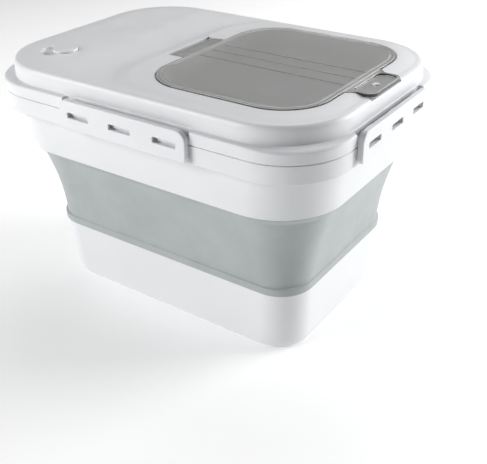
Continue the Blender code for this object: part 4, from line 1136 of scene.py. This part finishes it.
def make_hatch(smoke, soft, steel, plastic):
    """The hatch, its seal, its hinge pin, and the lid's stud that holds its tab."""
    shape = combined(hatch_shape(), list(hatch_cuts()), "DIFFERENCE")
    shape = combined(shape, list(hatch_bores()), "DIFFERENCE")
    finish_piece("hatch_panel", shape, smoke, "hatch", "hatch")
    low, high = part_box("hatch_gasket")
    width = HATCH_SEAL_WIDTH
    section = []
    for grow, height in ((0.0, low.z), (0.0, high.z), (-width, high.z), (-width, low.z)):
        section.append((grow - SEAL_RIM, height, EDGE))
    seal = loft([hatch_ring(*place) for place in soften(section, True)], closed=True)
    finish_piece("hatch_seal_ring", seal, soft, "hatch", "hatch_gasket")
    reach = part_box("hatch_hinge_pin")[HIGH].y
    pin = rod(PIN_RADIUS, (HINGE_X, -reach, HINGE_Z), (HINGE_X, reach, HINGE_Z))
    finish_piece("hinge_wire", pin, steel, "lid", "hatch_hinge_pin")
    foot, waist = NOTCH_FLOOR + FIT, NOTCH_FLOOR + TAB_NOTCH_DEPTH / 2
    profile = [(STUD_STEM_RADIUS, NOTCH_FLOOR - STUD_SEAT_DEPTH, 0.0), (STUD_STEM_RADIUS, foot, 0.0)]
    profile += [(STUD_RADIUS, foot, FIT), (STUD_WAIST * STUD_RADIUS, waist, EDGE)]
    profile += [(STUD_RADIUS, HATCH_TOP - TAB_DISH, EDGE), (STUD_RADIUS, HATCH_TOP - EDGE, EDGE)]
    profile += [(STUD_RADIUS * 0.2, HATCH_TOP - EDGE, 0.0)]
    stud = moved(turned(profile, steps=40), Matrix.Translation((STUD_X, 0.0, 0.0)))
    finish_piece("tab_stud", stud, plastic, "lid", "tab_snap_stud")


# ---- Vent ----


def make_vent(plastic, soft):
    """The vent plug's domed cap on its stem, and the seal ring under it."""
    cap_top = VENT_TOP + VENT_CAP_HEIGHT
    seal_top = VENT_FLOOR + FIT + VENT_SEAL_THICKNESS
    foot = VENT_FLOOR - STEM_LENGTH
    profile = [(STEM_RADIUS * 0.5, foot, 0.0), (STEM_RADIUS, foot, EDGE)]
    profile += [(STEM_RADIUS, seal_top + FIT, EDGE), (VENT_RADIUS, seal_top + FIT, EDGE)]
    profile += [(VENT_RADIUS, cap_top - 0.0004, 0.0016), (VENT_RADIUS * 0.62, cap_top, 0.002)]
    profile.append((VENT_RADIUS * 0.05, cap_top, 0.0))
    shape = moved(turned(profile, steps=96), VENT_PLACE)
    finish_piece("vent_cap", shape, plastic, "vent_plug", "vent_plug")
    inner = STEM_RADIUS + 2 * FIT
    outer = inner + VENT_SEAL_WIDTH
    section = [(outer, VENT_FLOOR + FIT, FIT), (outer, seal_top, FIT)]
    section += [(inner, seal_top, FIT), (inner, VENT_FLOOR + FIT, FIT)]
    seal = moved(turned(section, closed=True), VENT_PLACE)
    finish_piece("vent_seal_ring", seal, soft, "lid", "vent_seal")


def main():
    bpy.context.scene.view_settings.view_transform = "Standard"
    add_camera()
    add_stage()
    plastic, rubber, smoke = white_plastic(), grey_rubber(), smoke_plastic()
    soft, steel, pad = silicone(), drawn_steel(), pad_rubber()
    make_tub(plastic)
    make_feet(pad)
    make_band(rubber)
    make_collar(plastic)
    make_lid(plastic)
    make_lid_gasket(soft)
    make_latches(plastic, steel)
    make_hatch(smoke, soft, steel, plastic)
    make_vent(plastic, soft)


main()
